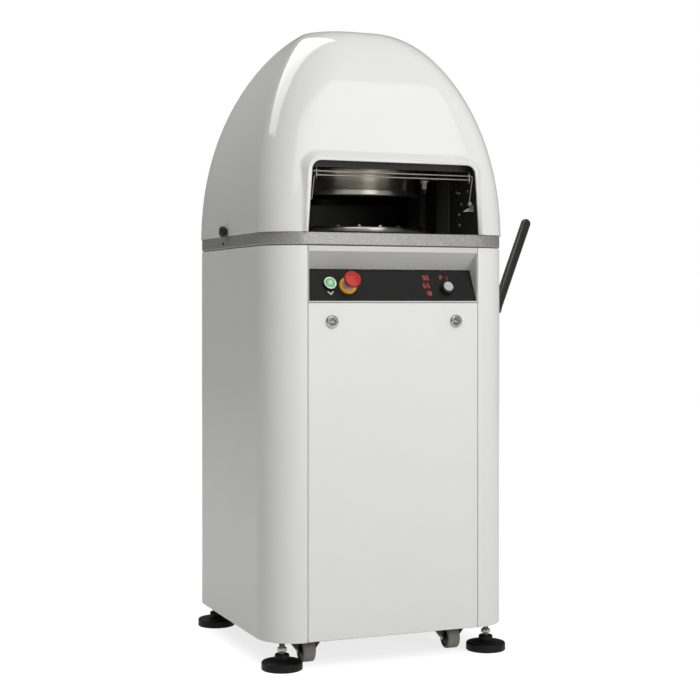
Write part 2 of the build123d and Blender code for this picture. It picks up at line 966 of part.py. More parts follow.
def make_head_frame():
    """Welded portal: four columns on the deck and a bridge across them."""
    frame = block(
        -column_x - column_thickness / 2,
        column_x + column_thickness / 2,
        -column_y - column_width / 2,
        column_y + column_width / 2,
        bridge_bottom,
        bridge_top,
    )
    for x in (-column_x, column_x):
        for y in (-column_y, column_y):
            frame += block(
                x - column_thickness / 2,
                x + column_thickness / 2,
                y - column_width / 2,
                y + column_width / 2,
                deck_top,
                bridge_bottom,
            )
    return frame - post(0, 0, bridge_bottom, bridge_top, piston_rod_radius + running_clearance)


def make_press_cylinder():
    """Press cylinder on the bridge, open below for the piston rod."""
    high = bridge_top + cylinder_height
    cylinder = post(0, 0, bridge_top, high, cylinder_radius)
    cylinder = fillet(cylinder.faces().sort_by(Axis.Z)[-1].edges(), cylinder_end / 2)
    cylinder -= post(
        0,
        0,
        bridge_top + cylinder_end,
        high - cylinder_end,
        cylinder_bore_radius + running_clearance,
    )
    return cylinder - post(
        0, 0, bridge_top, bridge_top + cylinder_end, piston_rod_radius + running_clearance
    )


def make_piston_rod():
    """Piston and rod that push the head down."""
    piston_low = bridge_top + cylinder_end + head_travel + button_gap
    rod = post(0, 0, head_plate_top, piston_low, piston_rod_radius)
    return rod + post(0, 0, piston_low, piston_low + piston_thickness, cylinder_bore_radius)


def make_head_ring():
    """Polished ring round the press plate, with a bead at its lower edge."""
    ring = post(0, 0, head_bottom, head_plate_bottom, head_ring_radius)
    bead_radius = head_ring_radius + head_bead_out
    bead = post(0, 0, head_bottom, head_bottom + head_bead_height, bead_radius)
    ring += fillet(bead.edges().filter_by(GeomType.CIRCLE), head_bead_out)
    inner = head_ring_radius - head_ring_wall
    return ring - post(0, 0, head_bottom, head_plate_bottom, inner)


def division_sectors():
    """Each division's inner and outer radius, first angle and angle step, ring by ring."""
    inner = 0.0
    for outer, count in zip(division_radii, division_counts):
        for index in range(count):
            yield inner, outer, 360.0 * index / count, 360.0 / count
        inner = outer


def make_press_segments():
    """Press plate: a round carrier with one segment for each dough piece, hung on posts."""
    plate = post(0, 0, head_plate_bottom, head_plate_top, head_plate_radius)
    slit = blade_thickness / 2 + blade_gap
    disc = post(0, 0, press_bottom, press_top, division_radii[-1])
    cuts = []
    for radius in division_radii[:-1]:
        ring = post(0, 0, press_bottom, press_top, radius + slit)
        cuts.append(ring - post(0, 0, press_bottom, press_top, radius - slit))
    posts = []
    for inner, outer, angle, step in division_sectors():
        length = outer - inner
        radial = block(inner, outer, -slit, slit, press_bottom, press_top)
        cuts.append(Rot(0, 0, angle) * radial)
        middle = inner + length / 2
        place = Rot(0, 0, angle + step / 2) * Pos(middle, 0, press_top)
        posts.append(
            place * Cylinder(press_post_radius, head_plate_bottom - press_top, align=LOW)
        )
    plate += posts
    plate += disc - cuts
    for angle in knife_rod_angles():
        hole = knife_rod_radius + running_clearance
        x, y = knife_rod_place(angle)
        plate -= post(x, y, head_plate_bottom, head_plate_top, hole)
    return plate


def knife_rod_angles():
    """Angles of the rods that push the knives down."""
    return [360.0 * index / knife_rod_count for index in range(knife_rod_count)]


def knife_rod_place(angle):
    """Place of one knife rod, on the outer ring blade."""
    turn = math.radians(angle)
    return division_radii[1] * math.cos(turn), division_radii[1] * math.sin(turn)


def make_knife_grid():
    """Ring and radial blades in one piece, with the rods that push them."""
    half = blade_thickness / 2
    blades = []
    for radius in division_radii[:-1]:
        ring = post(0, 0, blade_bottom, blade_top, radius + half)
        blades.append(ring - post(0, 0, blade_bottom, blade_top, radius - half))
    for inner, outer, angle, _ in division_sectors():
        radial = block(inner, outer, -half, half, blade_bottom, blade_top)
        blades.append(Rot(0, 0, angle) * radial)
    grid = blades[0] + blades[1:]
    rod_low = press_top + blade_travel + button_gap
    for angle in knife_rod_angles():
        x, y = knife_rod_place(angle)
        grid += post(x, y, rod_low, blade_top + knife_rod_length, knife_rod_radius)
    return grid


# Rounding table and drive


def make_moulding_plate():
    """Round plate with a shallow pocket for each dough piece and a rounded rim."""
    plate = post(crank_offset, 0, plate_bottom, plate_top, plate_radius)
    plate = fillet(plate.faces().sort_by(Axis.Z)[-1].edges(), plate_rim_radius)
    pockets = []
    for ring, size, count in zip(pocket_radii, pocket_sizes, division_counts):
        for index in range(count):
            turn = Rot(0, 0, 360.0 * (index + 0.5) / count)
            place = Pos(crank_offset, 0, plate_top) * turn * Pos(ring, 0)
            pockets.append(place * Cone(size - pocket_depth, size, 2 * pocket_depth))
    return plate - pockets


def make_rounding_table():
    """Orbiting table with a bore for each crank pin."""
    table = post(crank_offset, 0, table_bottom, table_top, table_radius)
    table = fillet(table.faces().sort_by(Axis.Z)[-1].edges(), casting_edge)
    depth = crank_pin_top + button_gap
    for x, radius in crank_pins():
        hole = radius + running_clearance
        table -= post(x + crank_offset, 0, table_bottom, depth, hole)
    return table


def crank_pins():
    """Shaft centre and pin radius of the three cranks under the table."""
    return (
        (0.0, crank_pin_radius),
        (-idler_half, idler_pin_radius),
        (idler_half, idler_pin_radius),
    )


def make_crank(x, low, radius, disc_radius, pin_radius):
    """Upright crank: a shaft, a disc and a pin set off its axis."""
    crank = post(x, 0, low, crank_disc_bottom, radius)
    crank += post(x, 0, crank_disc_bottom, crank_disc_top, disc_radius)
    return crank + post(x + crank_offset, 0, crank_disc_top, crank_pin_top, pin_radius)


def pulley(x, y, groove_radius, flange_radius):
    """A pulley with a flange above and below its groove."""
    wheel = post(x, y, pulley_bottom, pulley_top, groove_radius)
    wheel += post(x, y, pulley_bottom, pulley_bottom + pulley_flange, flange_radius)
    return wheel + post(x, y, pulley_top - pulley_flange, pulley_top, flange_radius)


def make_eccentric_shaft():
    """Main crank with the large pulley on its lower end."""
    crank = make_crank(0, pulley_bottom, shaft_radius, crank_disc_radius, crank_pin_radius)
    return crank + pulley(0, 0, pulley_groove_radius, pulley_flange_radius)


def make_idler_crank(sign):
    """Idler crank that keeps the table from turning."""
    low = drive_plate_top + button_gap
    return make_crank(
        sign * idler_half, low, idler_shaft_radius, idler_disc_radius, idler_pin_radius
    )


def make_drive_bridge():
    """Cross plate hung under the deck, which carries the bearings."""
    half_width = drive_plate_width / 2
    half_depth = drive_plate_depth / 2
    bridge = block(
        -half_width, half_width, -half_depth, half_depth, drive_plate_bottom, drive_plate_top
    )
    for sign in (-1, 1):
        edges = sorted((sign * half_width, sign * (half_width - drive_plate_thickness)))
        bridge += block(*edges, -half_depth, half_depth, drive_plate_top, deck_bottom)
    opening = shaft_radius + button_gap
    return bridge - post(0, 0, drive_plate_bottom, drive_plate_top, opening)


def make_bearing_housings():
    """Bearing housings of the main crank and of the two idlers."""
    housings = []
    sizes = (
        (0.0, bearing_radius, shaft_radius),
        (-idler_half, idler_bearing_radius, idler_shaft_radius),
        (idler_half, idler_bearing_radius, idler_shaft_radius),
    )
    for x, outer, inner in sizes:
        housing = post(x, 0, drive_plate_top, bearing_top, outer)
        housings.append(
            housing - post(x, 0, drive_plate_top, bearing_top, inner + running_clearance)
        )
    return group(*housings)


def make_drive_motor():
    """Motor hung under a plate between the rear posts."""
    half_width = bay_half - post_gap
    low = motor_plate_top - motor_plate_thickness
    motor = block(
        -half_width,
        half_width,
        motor_y - motor_plate_depth / 2,
        motor_y + motor_plate_depth / 2,
        low,
        motor_plate_top,
    )
    motor += post(0, motor_y, low - motor_length, low, motor_radius)
    seat = motor_plate_top - motor_shaft_seat
    return motor - post(0, motor_y, seat, motor_plate_top, motor_shaft_radius + running_clearance)


def make_motor_pulley():
    """Small pulley on the motor shaft."""
    low = motor_plate_top - motor_shaft_seat + button_gap
    wheel = pulley(0, motor_y, motor_pulley_groove_radius, motor_pulley_flange_radius)
    return wheel + post(0, motor_y, low, pulley_bottom, motor_shaft_radius)


def make_v_belt():
    """Belt round both pulleys, running in their grooves."""
    outlines = []
    for growth in (belt_gap + belt_thickness, belt_gap):
        large = Circle(pulley_groove_radius + growth)
        small = Pos(0, motor_y) * Circle(motor_pulley_groove_radius + growth)
        outlines.append(make_hull(large.edges() + small.edges()))
    low = pulley_bottom + pulley_flange + belt_side_gap
    height = pulley_width - 2 * (pulley_flange + belt_side_gap)
    return extrude(Pos(0, 0, low) * (outlines[0] - outlines[1]), height)


def make_hydraulic_unit():
    """Oil tank on the base, with the pump motor upright on it."""
    tank = block(
        tank_x - tank_width / 2,
        tank_x + tank_width / 2,
        tank_y - tank_depth / 2,
        tank_y + tank_depth / 2,
        base_top,
        base_top + tank_height,
    )
    tank = fillet(tank.edges().filter_by(Axis.Z), casting_wall)
    pump_low = base_top + tank_height
    return group(tank, post(tank_x, tank_y, pump_low, pump_low + pump_height, pump_radius))


def make_electrical_box():
    """Electrical box on the base."""
    box = block(
        box_x - box_width / 2,
        box_x + box_width / 2,
        box_y - box_depth / 2,
        box_y + box_depth / 2,
        base_top,
        base_top + box_height,
    )
    return fillet(box.edges().filter_by(Axis.Z), casting_edge)


# Hand lever


def make_lever_bush():
    """Flanged bush of the lever shaft in the right side panel."""
    bush = rod_x(side_x - lever_bush_depth, side_x, lever_y, lever_z, lever_bush_radius)
    end = side_x + lever_bush_flange
    bush += rod_x(side_x, end, lever_y, lever_z, lever_bush_flange_radius)
    bore = lever_shaft_radius + running_clearance
    return bush - rod_x(side_x - lever_bush_depth, end, lever_y, lever_z, bore)


def make_lever_shaft():
    """Shaft through the bush, with a crank arm on its inner end."""
    inner = side_x - lever_shaft_inside
    outer = side_x + lever_bush_flange + lever_hub_gap
    shaft = rod_x(inner, outer, lever_y, lever_z, lever_shaft_radius)
    half = lever_crank_width / 2
    shaft += block(
        inner,
        inner + lever_crank_thickness,
        lever_y - half,
        lever_y + half,
        lever_z - lever_crank_length,
        lever_z,
    )
    return shaft


def make_lever_bar():
    """Lever: a round hub and a flat bar with rounded edges that leans out from the cabinet."""
    hub_low = side_x + lever_bush_flange + lever_hub_gap
    hub_high = hub_low + lever_hub_width
    hub = rod_x(hub_low, hub_high, lever_y, lever_z, lever_hub_radius)
    hub = fillet(hub.edges().filter_by(GeomType.CIRCLE), lever_edge_radius / 2)
    length = math.hypot(lever_bar_reach, lever_bar_rise)
    lean = math.degrees(math.atan2(lever_bar_reach, lever_bar_rise))
    profile = SlotOverall(length + lever_bar_width / 2, lever_bar_width, rotation=90)
    profile = Pos(0, (length - lever_bar_width / 2) / 2) * profile
    flat = extrude(profile, lever_bar_thickness / 2, both=True)
    flat = fillet(flat.edges(), lever_edge_radius)
    root = hub_low + lever_bar_width / 2
    upright = Plane(origin=(root, lever_y, lever_z), x_dir=(1, 0, 0), z_dir=(0, -1, 0))
    return hub + upright * Rot(0, 0, -lean) * flat


# Feet and casters


def make_foot(x, y):
    """Levelling foot: a bell-shaped pad and a threaded stem with its nut."""
    profile = make_face(
        Polyline(
            (0, 0),
            (foot_radius, 0),
            (foot_radius, foot_rim_height),
            (foot_cone_radius, foot_cone_height),
            (foot_neck_radius, foot_cone_height),
            (foot_neck_radius, foot_height),
            (0, foot_height),
            close=True,
        )
    )
    pad = revolve(Plane.XZ * profile, Axis.Z)
    rims = pad.edges().filter_by(GeomType.CIRCLE).group_by(Axis.Z)
    pad = fillet(rims[1] + rims[-1], foot_edge)
    socket = foot_height - stem_socket_depth
    pad -= post(0, 0, socket, foot_height, stem_radius)
    stem = post(0, 0, socket, stem_top, stem_radius)
    nut = Pos(0, 0, stem_nut_bottom) * RegularPolygon(stem_nut_radius, 6)
    stem += extrude(nut, stem_nut_height)
    return group(Pos(x, y, 0) * pad, Pos(x, y, 0) * stem)


def make_caster_plates():
    """Caster top plates with their ball races and king pins."""
    plates = []
    plate_low = floor_gap - caster_plate_thickness
    for x in (-caster_x, caster_x):
        for y in (-caster_y, caster_y):
            plate = post(x, y, plate_low, floor_gap, caster_plate_radius)
            plate += post(x, y, caster_race_bottom, plate_low, caster_race_radius)
            plate += post(x, y, crown_bottom, caster_race_bottom, caster_king_radius)
            plates.append(plate)
    return group(*plates)


def make_caster_fork(x, y):
    """Swivel fork: a flared crown over the wheel, two legs and the axle between them."""
    fork = Pos(0, 0, crown_top - caster_crown_depth) * Cone(
        caster_crown_low_radius, caster_crown_radius, caster_crown_depth, align=LOW
    )
    room = wheel_width / 2 + wheel_side_gap
    fork -= rod_x(-room, room, -caster_lead, wheel_z, wheel_radius + wheel_side_gap)
    axle_half = room + caster_leg_thickness
    half = caster_leg_width / 2
    for sign in (-1, 1):
        edges = sorted((sign * axle_half, sign * room))
        leg = make_hull(
            (Pos(-caster_lead, wheel_z) * Circle(half / 2)).edges()
            + (Pos(0, crown_bottom) * Rectangle(caster_leg_width, caster_leg_thickness)).edges()
        )
        plane = Plane(origin=(edges[0], 0, 0), x_dir=(0, 1, 0), z_dir=(1, 0, 0))
        fork += extrude(plane * leg, caster_leg_thickness)
    fork += rod_x(-axle_half, axle_half, -caster_lead, wheel_z, axle_radius)
    king = caster_king_radius + running_clearance
    fork -= post(0, 0, crown_bottom - wheel_side_gap, crown_top, king)
    return Pos(x, y, 0) * fork


def make_caster_wheel(x, y):
    """Caster wheel with a rounded tread and a bore for its axle."""
    half = wheel_width / 2
    wheel = rod_x(-half, half, -caster_lead, wheel_z, wheel_radius)
    wheel = fillet(wheel.edges().filter_by(GeomType.CIRCLE), wheel_edge)
    bore = axle_radius + running_clearance
    wheel -= rod_x(-half, half, -caster_lead, wheel_z, bore)
    return Pos(x, y, 0) * wheel


def make_parts():
    """Every piece by its node name."""
    parts = {
        "base_plate": make_base_plate(),
        "frame_posts": make_frame_posts(),
        "left_side_panel": make_side_panel(-1),
        "right_side_panel": make_right_side_panel(),
        "front_panel": make_front_panel(),
        "lock_left": make_lock(-1),
        "lock_right": make_lock(1),
        "rear_panel": make_rear_panel(),
        "cable_gland": make_cable_gland(),
        "table_casting": make_table_casting(),
        "hood": make_hood(),
        "hood_knob_left": make_hood_knob(-1),
        "hood_knob_right": make_hood_knob(1),
        "console_sheet": make_console_sheet(),
        "control_panel": make_control_panel(),
        "control_board": make_control_board(),
        "start_button_body": make_start_button_body(),
        "start_button_cap": make_start_button_cap(),
        "estop_collar": make_estop_collar(),
        "estop_stem": make_estop_stem(),
        "estop_head": make_estop_head(),
        "dial_knob": make_dial_knob(),
        "dial_cap": make_dial_cap(),
        "chamber_liner": make_chamber_liner(),
        "guard_bail": make_guard_bail(),
        "proximity_sensor": make_proximity_sensor(),
        "head_frame": make_head_frame(),
        "press_cylinder": make_press_cylinder(),
        "piston_rod": make_piston_rod(),
        "head_ring": make_head_ring(),
        "press_segments": make_press_segments(),
        "knife_grid": make_knife_grid(),
        "moulding_plate": make_moulding_plate(),
        "rounding_table": make_rounding_table(),
        "eccentric_shaft": make_eccentric_shaft(),
        "idler_crank_left": make_idler_crank(-1),
        "idler_crank_right": make_idler_crank(1),
        "drive_bridge": make_drive_bridge(),
        "bearing_housings": make_bearing_housings(),
        "drive_motor": make_drive_motor(),
        "motor_pulley": make_motor_pulley(),
        "v_belt": make_v_belt(),
        "hydraulic_unit": make_hydraulic_unit(),
        "electrical_box": make_electrical_box(),
        "lever_bush": make_lever_bush(),
        "lever_shaft": make_lever_shaft(),
        "lever_bar": make_lever_bar(),
        "caster_plates": make_caster_plates(),
    }
    for y_sign, end in ((-1, "front"), (1, "rear")):
        for x_sign, side in ((-1, "left"), (1, "right")):
            place = f"{end}_{side}"
            parts[f"foot_{place}"] = make_foot(x_sign * foot_x, y_sign * foot_y)
            x, y = x_sign * caster_x, y_sign * caster_y
            parts[f"caster_fork_{place}"] = make_caster_fork(x, y)
            parts[f"caster_wheel_{place}"] = make_caster_wheel(x, y)
    return parts


os.makedirs("parts", exist_ok=True)
for node, piece in make_parts().items():
    export_step(piece, f"parts/{node}.step")
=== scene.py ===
"""Looks of a free-standing dough divider rounder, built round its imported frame.

Shapes are modelled in millimetres in the frame's own axes: +X to the right seen from the front, the front
faces -Y, +Z up. A finished piece is scaled to metres once, when it becomes an object.
"""
import json
import logging
import math
from dataclasses import dataclass
from enum import Enum, IntEnum
from typing import ClassVar, Iterable, Sequence

import bmesh
import bpy
from mathutils import Matrix, Vector


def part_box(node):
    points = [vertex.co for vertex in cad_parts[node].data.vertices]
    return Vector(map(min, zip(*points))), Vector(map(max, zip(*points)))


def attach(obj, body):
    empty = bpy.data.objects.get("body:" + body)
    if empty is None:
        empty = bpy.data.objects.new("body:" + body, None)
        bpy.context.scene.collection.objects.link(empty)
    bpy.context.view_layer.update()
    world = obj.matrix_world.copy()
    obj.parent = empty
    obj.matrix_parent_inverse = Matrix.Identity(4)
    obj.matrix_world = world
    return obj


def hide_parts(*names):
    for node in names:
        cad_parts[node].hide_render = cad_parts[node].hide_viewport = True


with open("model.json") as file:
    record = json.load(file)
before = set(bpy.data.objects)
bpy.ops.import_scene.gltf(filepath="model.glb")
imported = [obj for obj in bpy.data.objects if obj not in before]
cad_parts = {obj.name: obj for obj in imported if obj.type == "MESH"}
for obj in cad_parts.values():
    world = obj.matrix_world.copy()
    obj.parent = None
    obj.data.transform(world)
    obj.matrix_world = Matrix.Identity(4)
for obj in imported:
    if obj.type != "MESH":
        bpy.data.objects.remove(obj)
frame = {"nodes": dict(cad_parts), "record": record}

LOG = logging.getLogger("divider_rounder")
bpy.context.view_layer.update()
MM = 0.001
WELD_MM = 0.004
FULL_TURN = 2 * math.pi
AXIS_X = Vector((1, 0, 0))
AXIS_Y = Vector((0, 1, 0))
AXIS_Z = Vector((0, 0, 1))

Point = Sequence[float]
Profile = Sequence[tuple[float, float]]
Pair = tuple[float, float]
Triple = tuple[float, float, float]
Tree = bpy.types.NodeTree
Node = bpy.types.Node
Socket = bpy.types.NodeSocket
Inputs = dict[int | str, object]


class Place(Enum):
    """A named place on the machine."""

    @property
    def word(self) -> str:
        """The place's name in node and piece names."""
        return self.name.lower()


class Side(Place):
    """Left and right seen from the front, with the direction along X."""

    LEFT = -1
    RIGHT = 1


class End(Place):
    """Front and rear, with the direction along Y."""

    FRONT = -1
    REAR = 1


CORNERS = [f"{end.word}_{side.word}" for end in End for side in Side]


class Steps(IntEnum):
    """Steps of a full turn, by the kind of piece."""

    BOLT = 16
    PIN = 32
    SCREW = 36
    ROD = 40
    DISC = 48
    PLAIN = 64
    PART = 72
    FLUTED = 120
    DIAL = 144
    RING = 160


# Places in the frame


def box_of(node: str) -> tuple[Vector, Vector]:
    """Give the lowest and highest corner of a node at rest, in millimetres."""
    low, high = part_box(node)
    return low / MM, high / MM


def middle_of(node: str) -> Vector:
    """Give the middle of a node's box, in millimetres."""
    low, high = box_of(node)
    return (low + high) / 2


def joint(name: str) -> tuple[Vector, Vector]:
    """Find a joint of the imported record.

    Args:
        name: Name of the joint.

    Returns:
        A point on its axis, in millimetres, and the axis.
    """
    for row in frame["record"]["behaviour"]["joints"]:
        if row["name"] == name:
            return Vector(row["pos_m"]) / MM, Vector(row["axis"]).normalized()
    raise KeyError(name)


def placed(origin: Point, axis: Point, side: Point = AXIS_X) -> Matrix:
    """Make a matrix that sets a shape down on a point.

    Args:
        origin: Where the shape's own origin goes, in millimetres.
        axis: Direction of the shape's own Z.
        side: Direction that the shape's own X leans to.

    Returns:
        The matrix, in millimetres.
    """
    up = Vector(axis).normalized()
    across = Vector(side)
    across = (across - up * across.dot(up)).normalized()
    turn = Matrix((across, up.cross(across), up)).transposed()
    return Matrix.Translation(Vector(origin)) @ turn.to_4x4()


def sideways(origin: Point, sign: int = 1) -> Matrix:
    """Set a shape down with its own Z to the right, or to the left for a sign of minus one."""
    return placed(origin, AXIS_X * sign, AXIS_Y)


def arc(centre: Pair, radius: float, start: float, end: float, steps: int = 6) -> list[Pair]:
    """Give the points of an arc.

    Args:
        centre: Middle of the arc.
        radius: Its radius.
        start: Angle of the first point, in degrees.
        end: Angle of the last point, in degrees.
        steps: Number of chords.

    Returns:
        The points, both ends included.
    """
    angles = [math.radians(start + (end - start) * step / steps) for step in range(steps + 1)]
    return [(centre[0] + radius * math.cos(a), centre[1] + radius * math.sin(a)) for a in angles]


def rounded_rectangle(half_x: float, half_y: float, radius: float, steps: int = 12) -> list[Pair]:
    """Give the outline of a rectangle with rounded corners, round the origin.

    Args:
        half_x: Half its width.
        half_y: Half its height.
        radius: Corner radius.
        steps: Chords in each corner.

    Returns:
        The outline's points, anticlockwise.
    """
    x, y = half_x - radius, half_y - radius
    outline: list[Pair] = []
    for quarter, (sx, sy) in enumerate(((1, 1), (-1, 1), (-1, -1), (1, -1))):
        outline += arc((sx * x, sy * y), radius, 90 * quarter, 90 * quarter + 90, steps)
    return outline


# Finishes


def linear(colour: str) -> tuple[float, float, float, float]:
    """Turn an sRGB hex colour into linear RGBA.

    Args:
        colour: Six hex digits after a hash sign.

    Returns:
        Linear red, green, blue and an alpha of one.
    """
    values = [int(colour[place : place + 2], 16) / 255 for place in (1, 3, 5)]
    red, green, blue = [v / 12.92 if v <= 0.04045 else ((v + 0.055) / 1.055) ** 2.4 for v in values]
    return red, green, blue, 1.0


def per_mm(size: float) -> float:
    """Give the texture scale at which one feature is this many millimetres wide."""
    return 1.0 / (size * MM)


def connect(tree: Tree, node: Node, inputs: Inputs) -> None:
    """Set a node's inputs.

    Args:
        tree: The node tree.
        node: The node.
        inputs: Values or sockets for its inputs, by name or index.
    """
    for name, value in inputs.items():
        if isinstance(value, Socket):
            tree.links.new(value, node.inputs[name])
        else:
            node.inputs[name].default_value = value


def add_node(tree: Tree, kind: str, inputs: Inputs | None = None, **settings: object) -> Node:
    """Add a shader node.

    Args:
        tree: The node tree.
        kind: Blender's name of the node type.
        inputs: Values or sockets for the node's inputs, by name or index.
        **settings: Values for the node's own properties.

    Returns:
        The new node.
    """
    node = tree.nodes.new(kind)
    for name, value in settings.items():
        setattr(node, name, value)
    connect(tree, node, inputs or {})
    return node


@dataclass(frozen=True)
class Finish:
    """A finish in two tones; its material is made once and shared."""

    made: ClassVar[dict["Finish", bpy.types.Material]] = {}
    name: str
    colour: str
    shade: str
    roughness: float

    def material(self) -> bpy.types.Material:
        """Give the finish's material, made at its first use.

        Returns:
            The shared material.
        """
        if self not in Finish.made:
            material = bpy.data.materials.new(self.name)
            material.use_nodes = True
            tree = material.node_tree
            coords = add_node(tree, "ShaderNodeTexCoord").outputs["Object"]
            self.paint(tree, tree.nodes["Principled BSDF"], coords)
            Finish.made[self] = material
        return Finish.made[self]

    def paint(self, tree: Tree, shader: Node, coords: Socket) -> None:
        """Wire the finish's pattern to its shader."""
        raise NotImplementedError

    def tones(self, pattern: Socket) -> Inputs:
        """Give the inputs that blend both tones by a pattern."""
        return {0: pattern, 6: linear(self.colour), 7: linear(self.shade)}

    def surface(self, tree: Tree, shader: Node, pattern: Socket, height: Socket, spread: float) -> None:
        """Let one pattern vary the tone and the roughness, and another raise the surface.

        Args:
            tree: The material's node tree.
            shader: Its surface shader.
            pattern: Pattern of tone and roughness.
            height: Pattern of the relief.
            spread: How far the roughness strays from its own value, as a share of it.
        """
        tone = add_node(tree, "ShaderNodeMix", self.tones(pattern), data_type="RGBA")
        least, most = self.roughness * (1 - spread), self.roughness * (1 + spread)
        gloss = add_node(tree, "ShaderNodeMapRange", {"Value": pattern, "To Min": least, "To Max": most})
        bump = add_node(tree, "ShaderNodeBump", {"Height": height, "Distance": self.relief_mm * MM})
        looks = {"Base Color": tone.outputs[2], "Roughness": gloss.outputs[0], "Normal": bump.outputs[0]}
        connect(tree, shader, looks)


@dataclass(frozen=True)
class Coating(Finish):
    """Paint, enamel, moulded plastic or rubber: a clouded tone under a fine surface grain."""

    spread: ClassVar[float] = 0.15
    cloud_detail: ClassVar[float] = 4.0
    grain_detail: ClassVar[float] = 2.0
    coat_gloss: ClassVar[float] = 3.0
    grain_mm: float
    relief_mm: float
    tone_mm: float = 120.0
    metallic: float = 0.0
    coat: float = 0.0
    specular: float = 0.5

    def paint(self, tree: Tree, shader: Node, coords: Socket) -> None:
        """Cloud the colour and roughness, and lay the grain on as bump.

        Args:
            tree: The material's node tree.
            shader: Its surface shader.
            coords: Object coordinates.
        """
        cloud, grain = [
            add_node(tree, "ShaderNodeTexNoise", {"Vector": coords, "Scale": per_mm(size), "Detail": detail})
            for size, detail in ((self.tone_mm, self.cloud_detail), (self.grain_mm, self.grain_detail))
        ]
        self.surface(tree, shader, cloud.outputs[0], grain.outputs[0], self.spread)
        coat = {"Coat Weight": self.coat, "Coat Roughness": self.roughness / self.coat_gloss}
        connect(tree, shader, {"Metallic": self.metallic, "Specular IOR Level": self.specular, **coat})


@dataclass(frozen=True)
class Hammertone(Finish):
    """Hammered paint: rounded cells that catch the light one by one, with a metallic sparkle."""

    detail: ClassVar[float] = 3.0
    contrast: ClassVar[Pair] = (0.32, 0.68)
    softness: ClassVar[float] = 0.6
    metallic: ClassVar[float] = 0.5
    cell_mm: float
    relief_mm: float

    def paint(self, tree: Tree, shader: Node, coords: Socket) -> None:
        """Raise the cells and mottle their tone.

        Args:
            tree: The material's node tree.
            shader: Its surface shader.
            coords: Object coordinates.
        """
        size = {"Vector": coords, "Scale": per_mm(self.cell_mm)}
        cells = add_node(
            tree, "ShaderNodeTexVoronoi", {**size, "Smoothness": self.softness}, feature="SMOOTH_F1"
        )
        flecks = add_node(tree, "ShaderNodeTexNoise", {**size, "Detail": self.detail})
        least, most = self.contrast
        mottle = add_node(
            tree, "ShaderNodeMapRange", {"Value": flecks.outputs[0], "From Min": least, "From Max": most}
        )
        bump = add_node(
            tree, "ShaderNodeBump", {"Height": cells.outputs["Distance"], "Distance": -self.relief_mm * MM}
        )
        tone = add_node(tree, "ShaderNodeMix", self.tones(mottle.outputs[0]), data_type="RGBA")
        looks = {"Base Color": tone.outputs[2], "Normal": bump.outputs[0]}
        connect(tree, shader, {**looks, "Metallic": self.metallic, "Roughness": self.roughness})


@dataclass(frozen=True)
class TurnedMetal(Finish):
    """Metal faced on a lathe: fine rings round its upright axis that smear highlights across them."""

    spread: ClassVar[float] = 0.4
    detail: ClassVar[float] = 3.0
    smear: ClassVar[float] = 0.85
    quarter: ClassVar[float] = 0.25
    mark_mm: float
    relief_mm: float
    centre: Triple = (0.0, 0.0, 0.0)

    def paint(self, tree: Tree, shader: Node, coords: Socket) -> None:
        """Draw the rings from the distance to the axis.

        Args:
            tree: The material's node tree.
            shader: Its surface shader.
            coords: Object coordinates.
        """
        offset = tuple(-value * MM for value in self.centre)
        local = add_node(tree, "ShaderNodeMapping", {"Vector": coords, "Location": offset}).outputs[0]
        flat = add_node(
            tree, "ShaderNodeVectorMath", {0: local, 1: (1.0, 1.0, 0.0)}, operation="MULTIPLY"
        ).outputs[0]
        radius = add_node(tree, "ShaderNodeVectorMath", {0: flat}, operation="LENGTH").outputs["Value"]
        height = add_node(tree, "ShaderNodeSeparateXYZ", {0: local}).outputs["Z"]
        path = add_node(tree, "ShaderNodeMath", {0: radius, 1: height}, operation="ADD").outputs[0]
        lines = {"W": path, "Scale": per_mm(self.mark_mm), "Detail": self.detail}
        marks = add_node(tree, "ShaderNodeTexNoise", lines, noise_dimensions="1D").outputs[0]
        around = add_node(tree, "ShaderNodeVectorMath", {0: AXIS_Z, 1: flat}, operation="CROSS_PRODUCT")
        self.surface(tree, shader, marks, marks, self.spread)
        smear = {"Anisotropic": self.smear, "Anisotropic Rotation": self.quarter}
        connect(tree, shader, {"Tangent": around.outputs[0], "Metallic": 1.0, **smear})


@dataclass(frozen=True)
class DrawnMetal(Finish):
    """Plated, drawn or brushed metal: long faint streaks along its length."""

    spread: ClassVar[float] = 0.3
    detail: ClassVar[float] = 4.0
    streak_mm: float
    stretch: Triple = (1.0, 1.0, 0.05)
    relief_mm: float = 0.004

    def paint(self, tree: Tree, shader: Node, coords: Socket) -> None:
        """Stretch a noise into streaks for tone, gloss and bump.

        Args:
            tree: The material's node tree.
            shader: Its surface shader.
            coords: Object coordinates.
        """
        grain = add_node(tree, "ShaderNodeMapping", {"Vector": coords, "Scale": self.stretch}).outputs[0]
        lines = {"Vector": grain, "Scale": per_mm(self.streak_mm), "Detail": self.detail}
        streaks = add_node(tree, "ShaderNodeTexNoise", lines).outputs[0]
        self.surface(tree, shader, streaks, streaks, self.spread)
        connect(tree, shader, {"Metallic": 1.0})


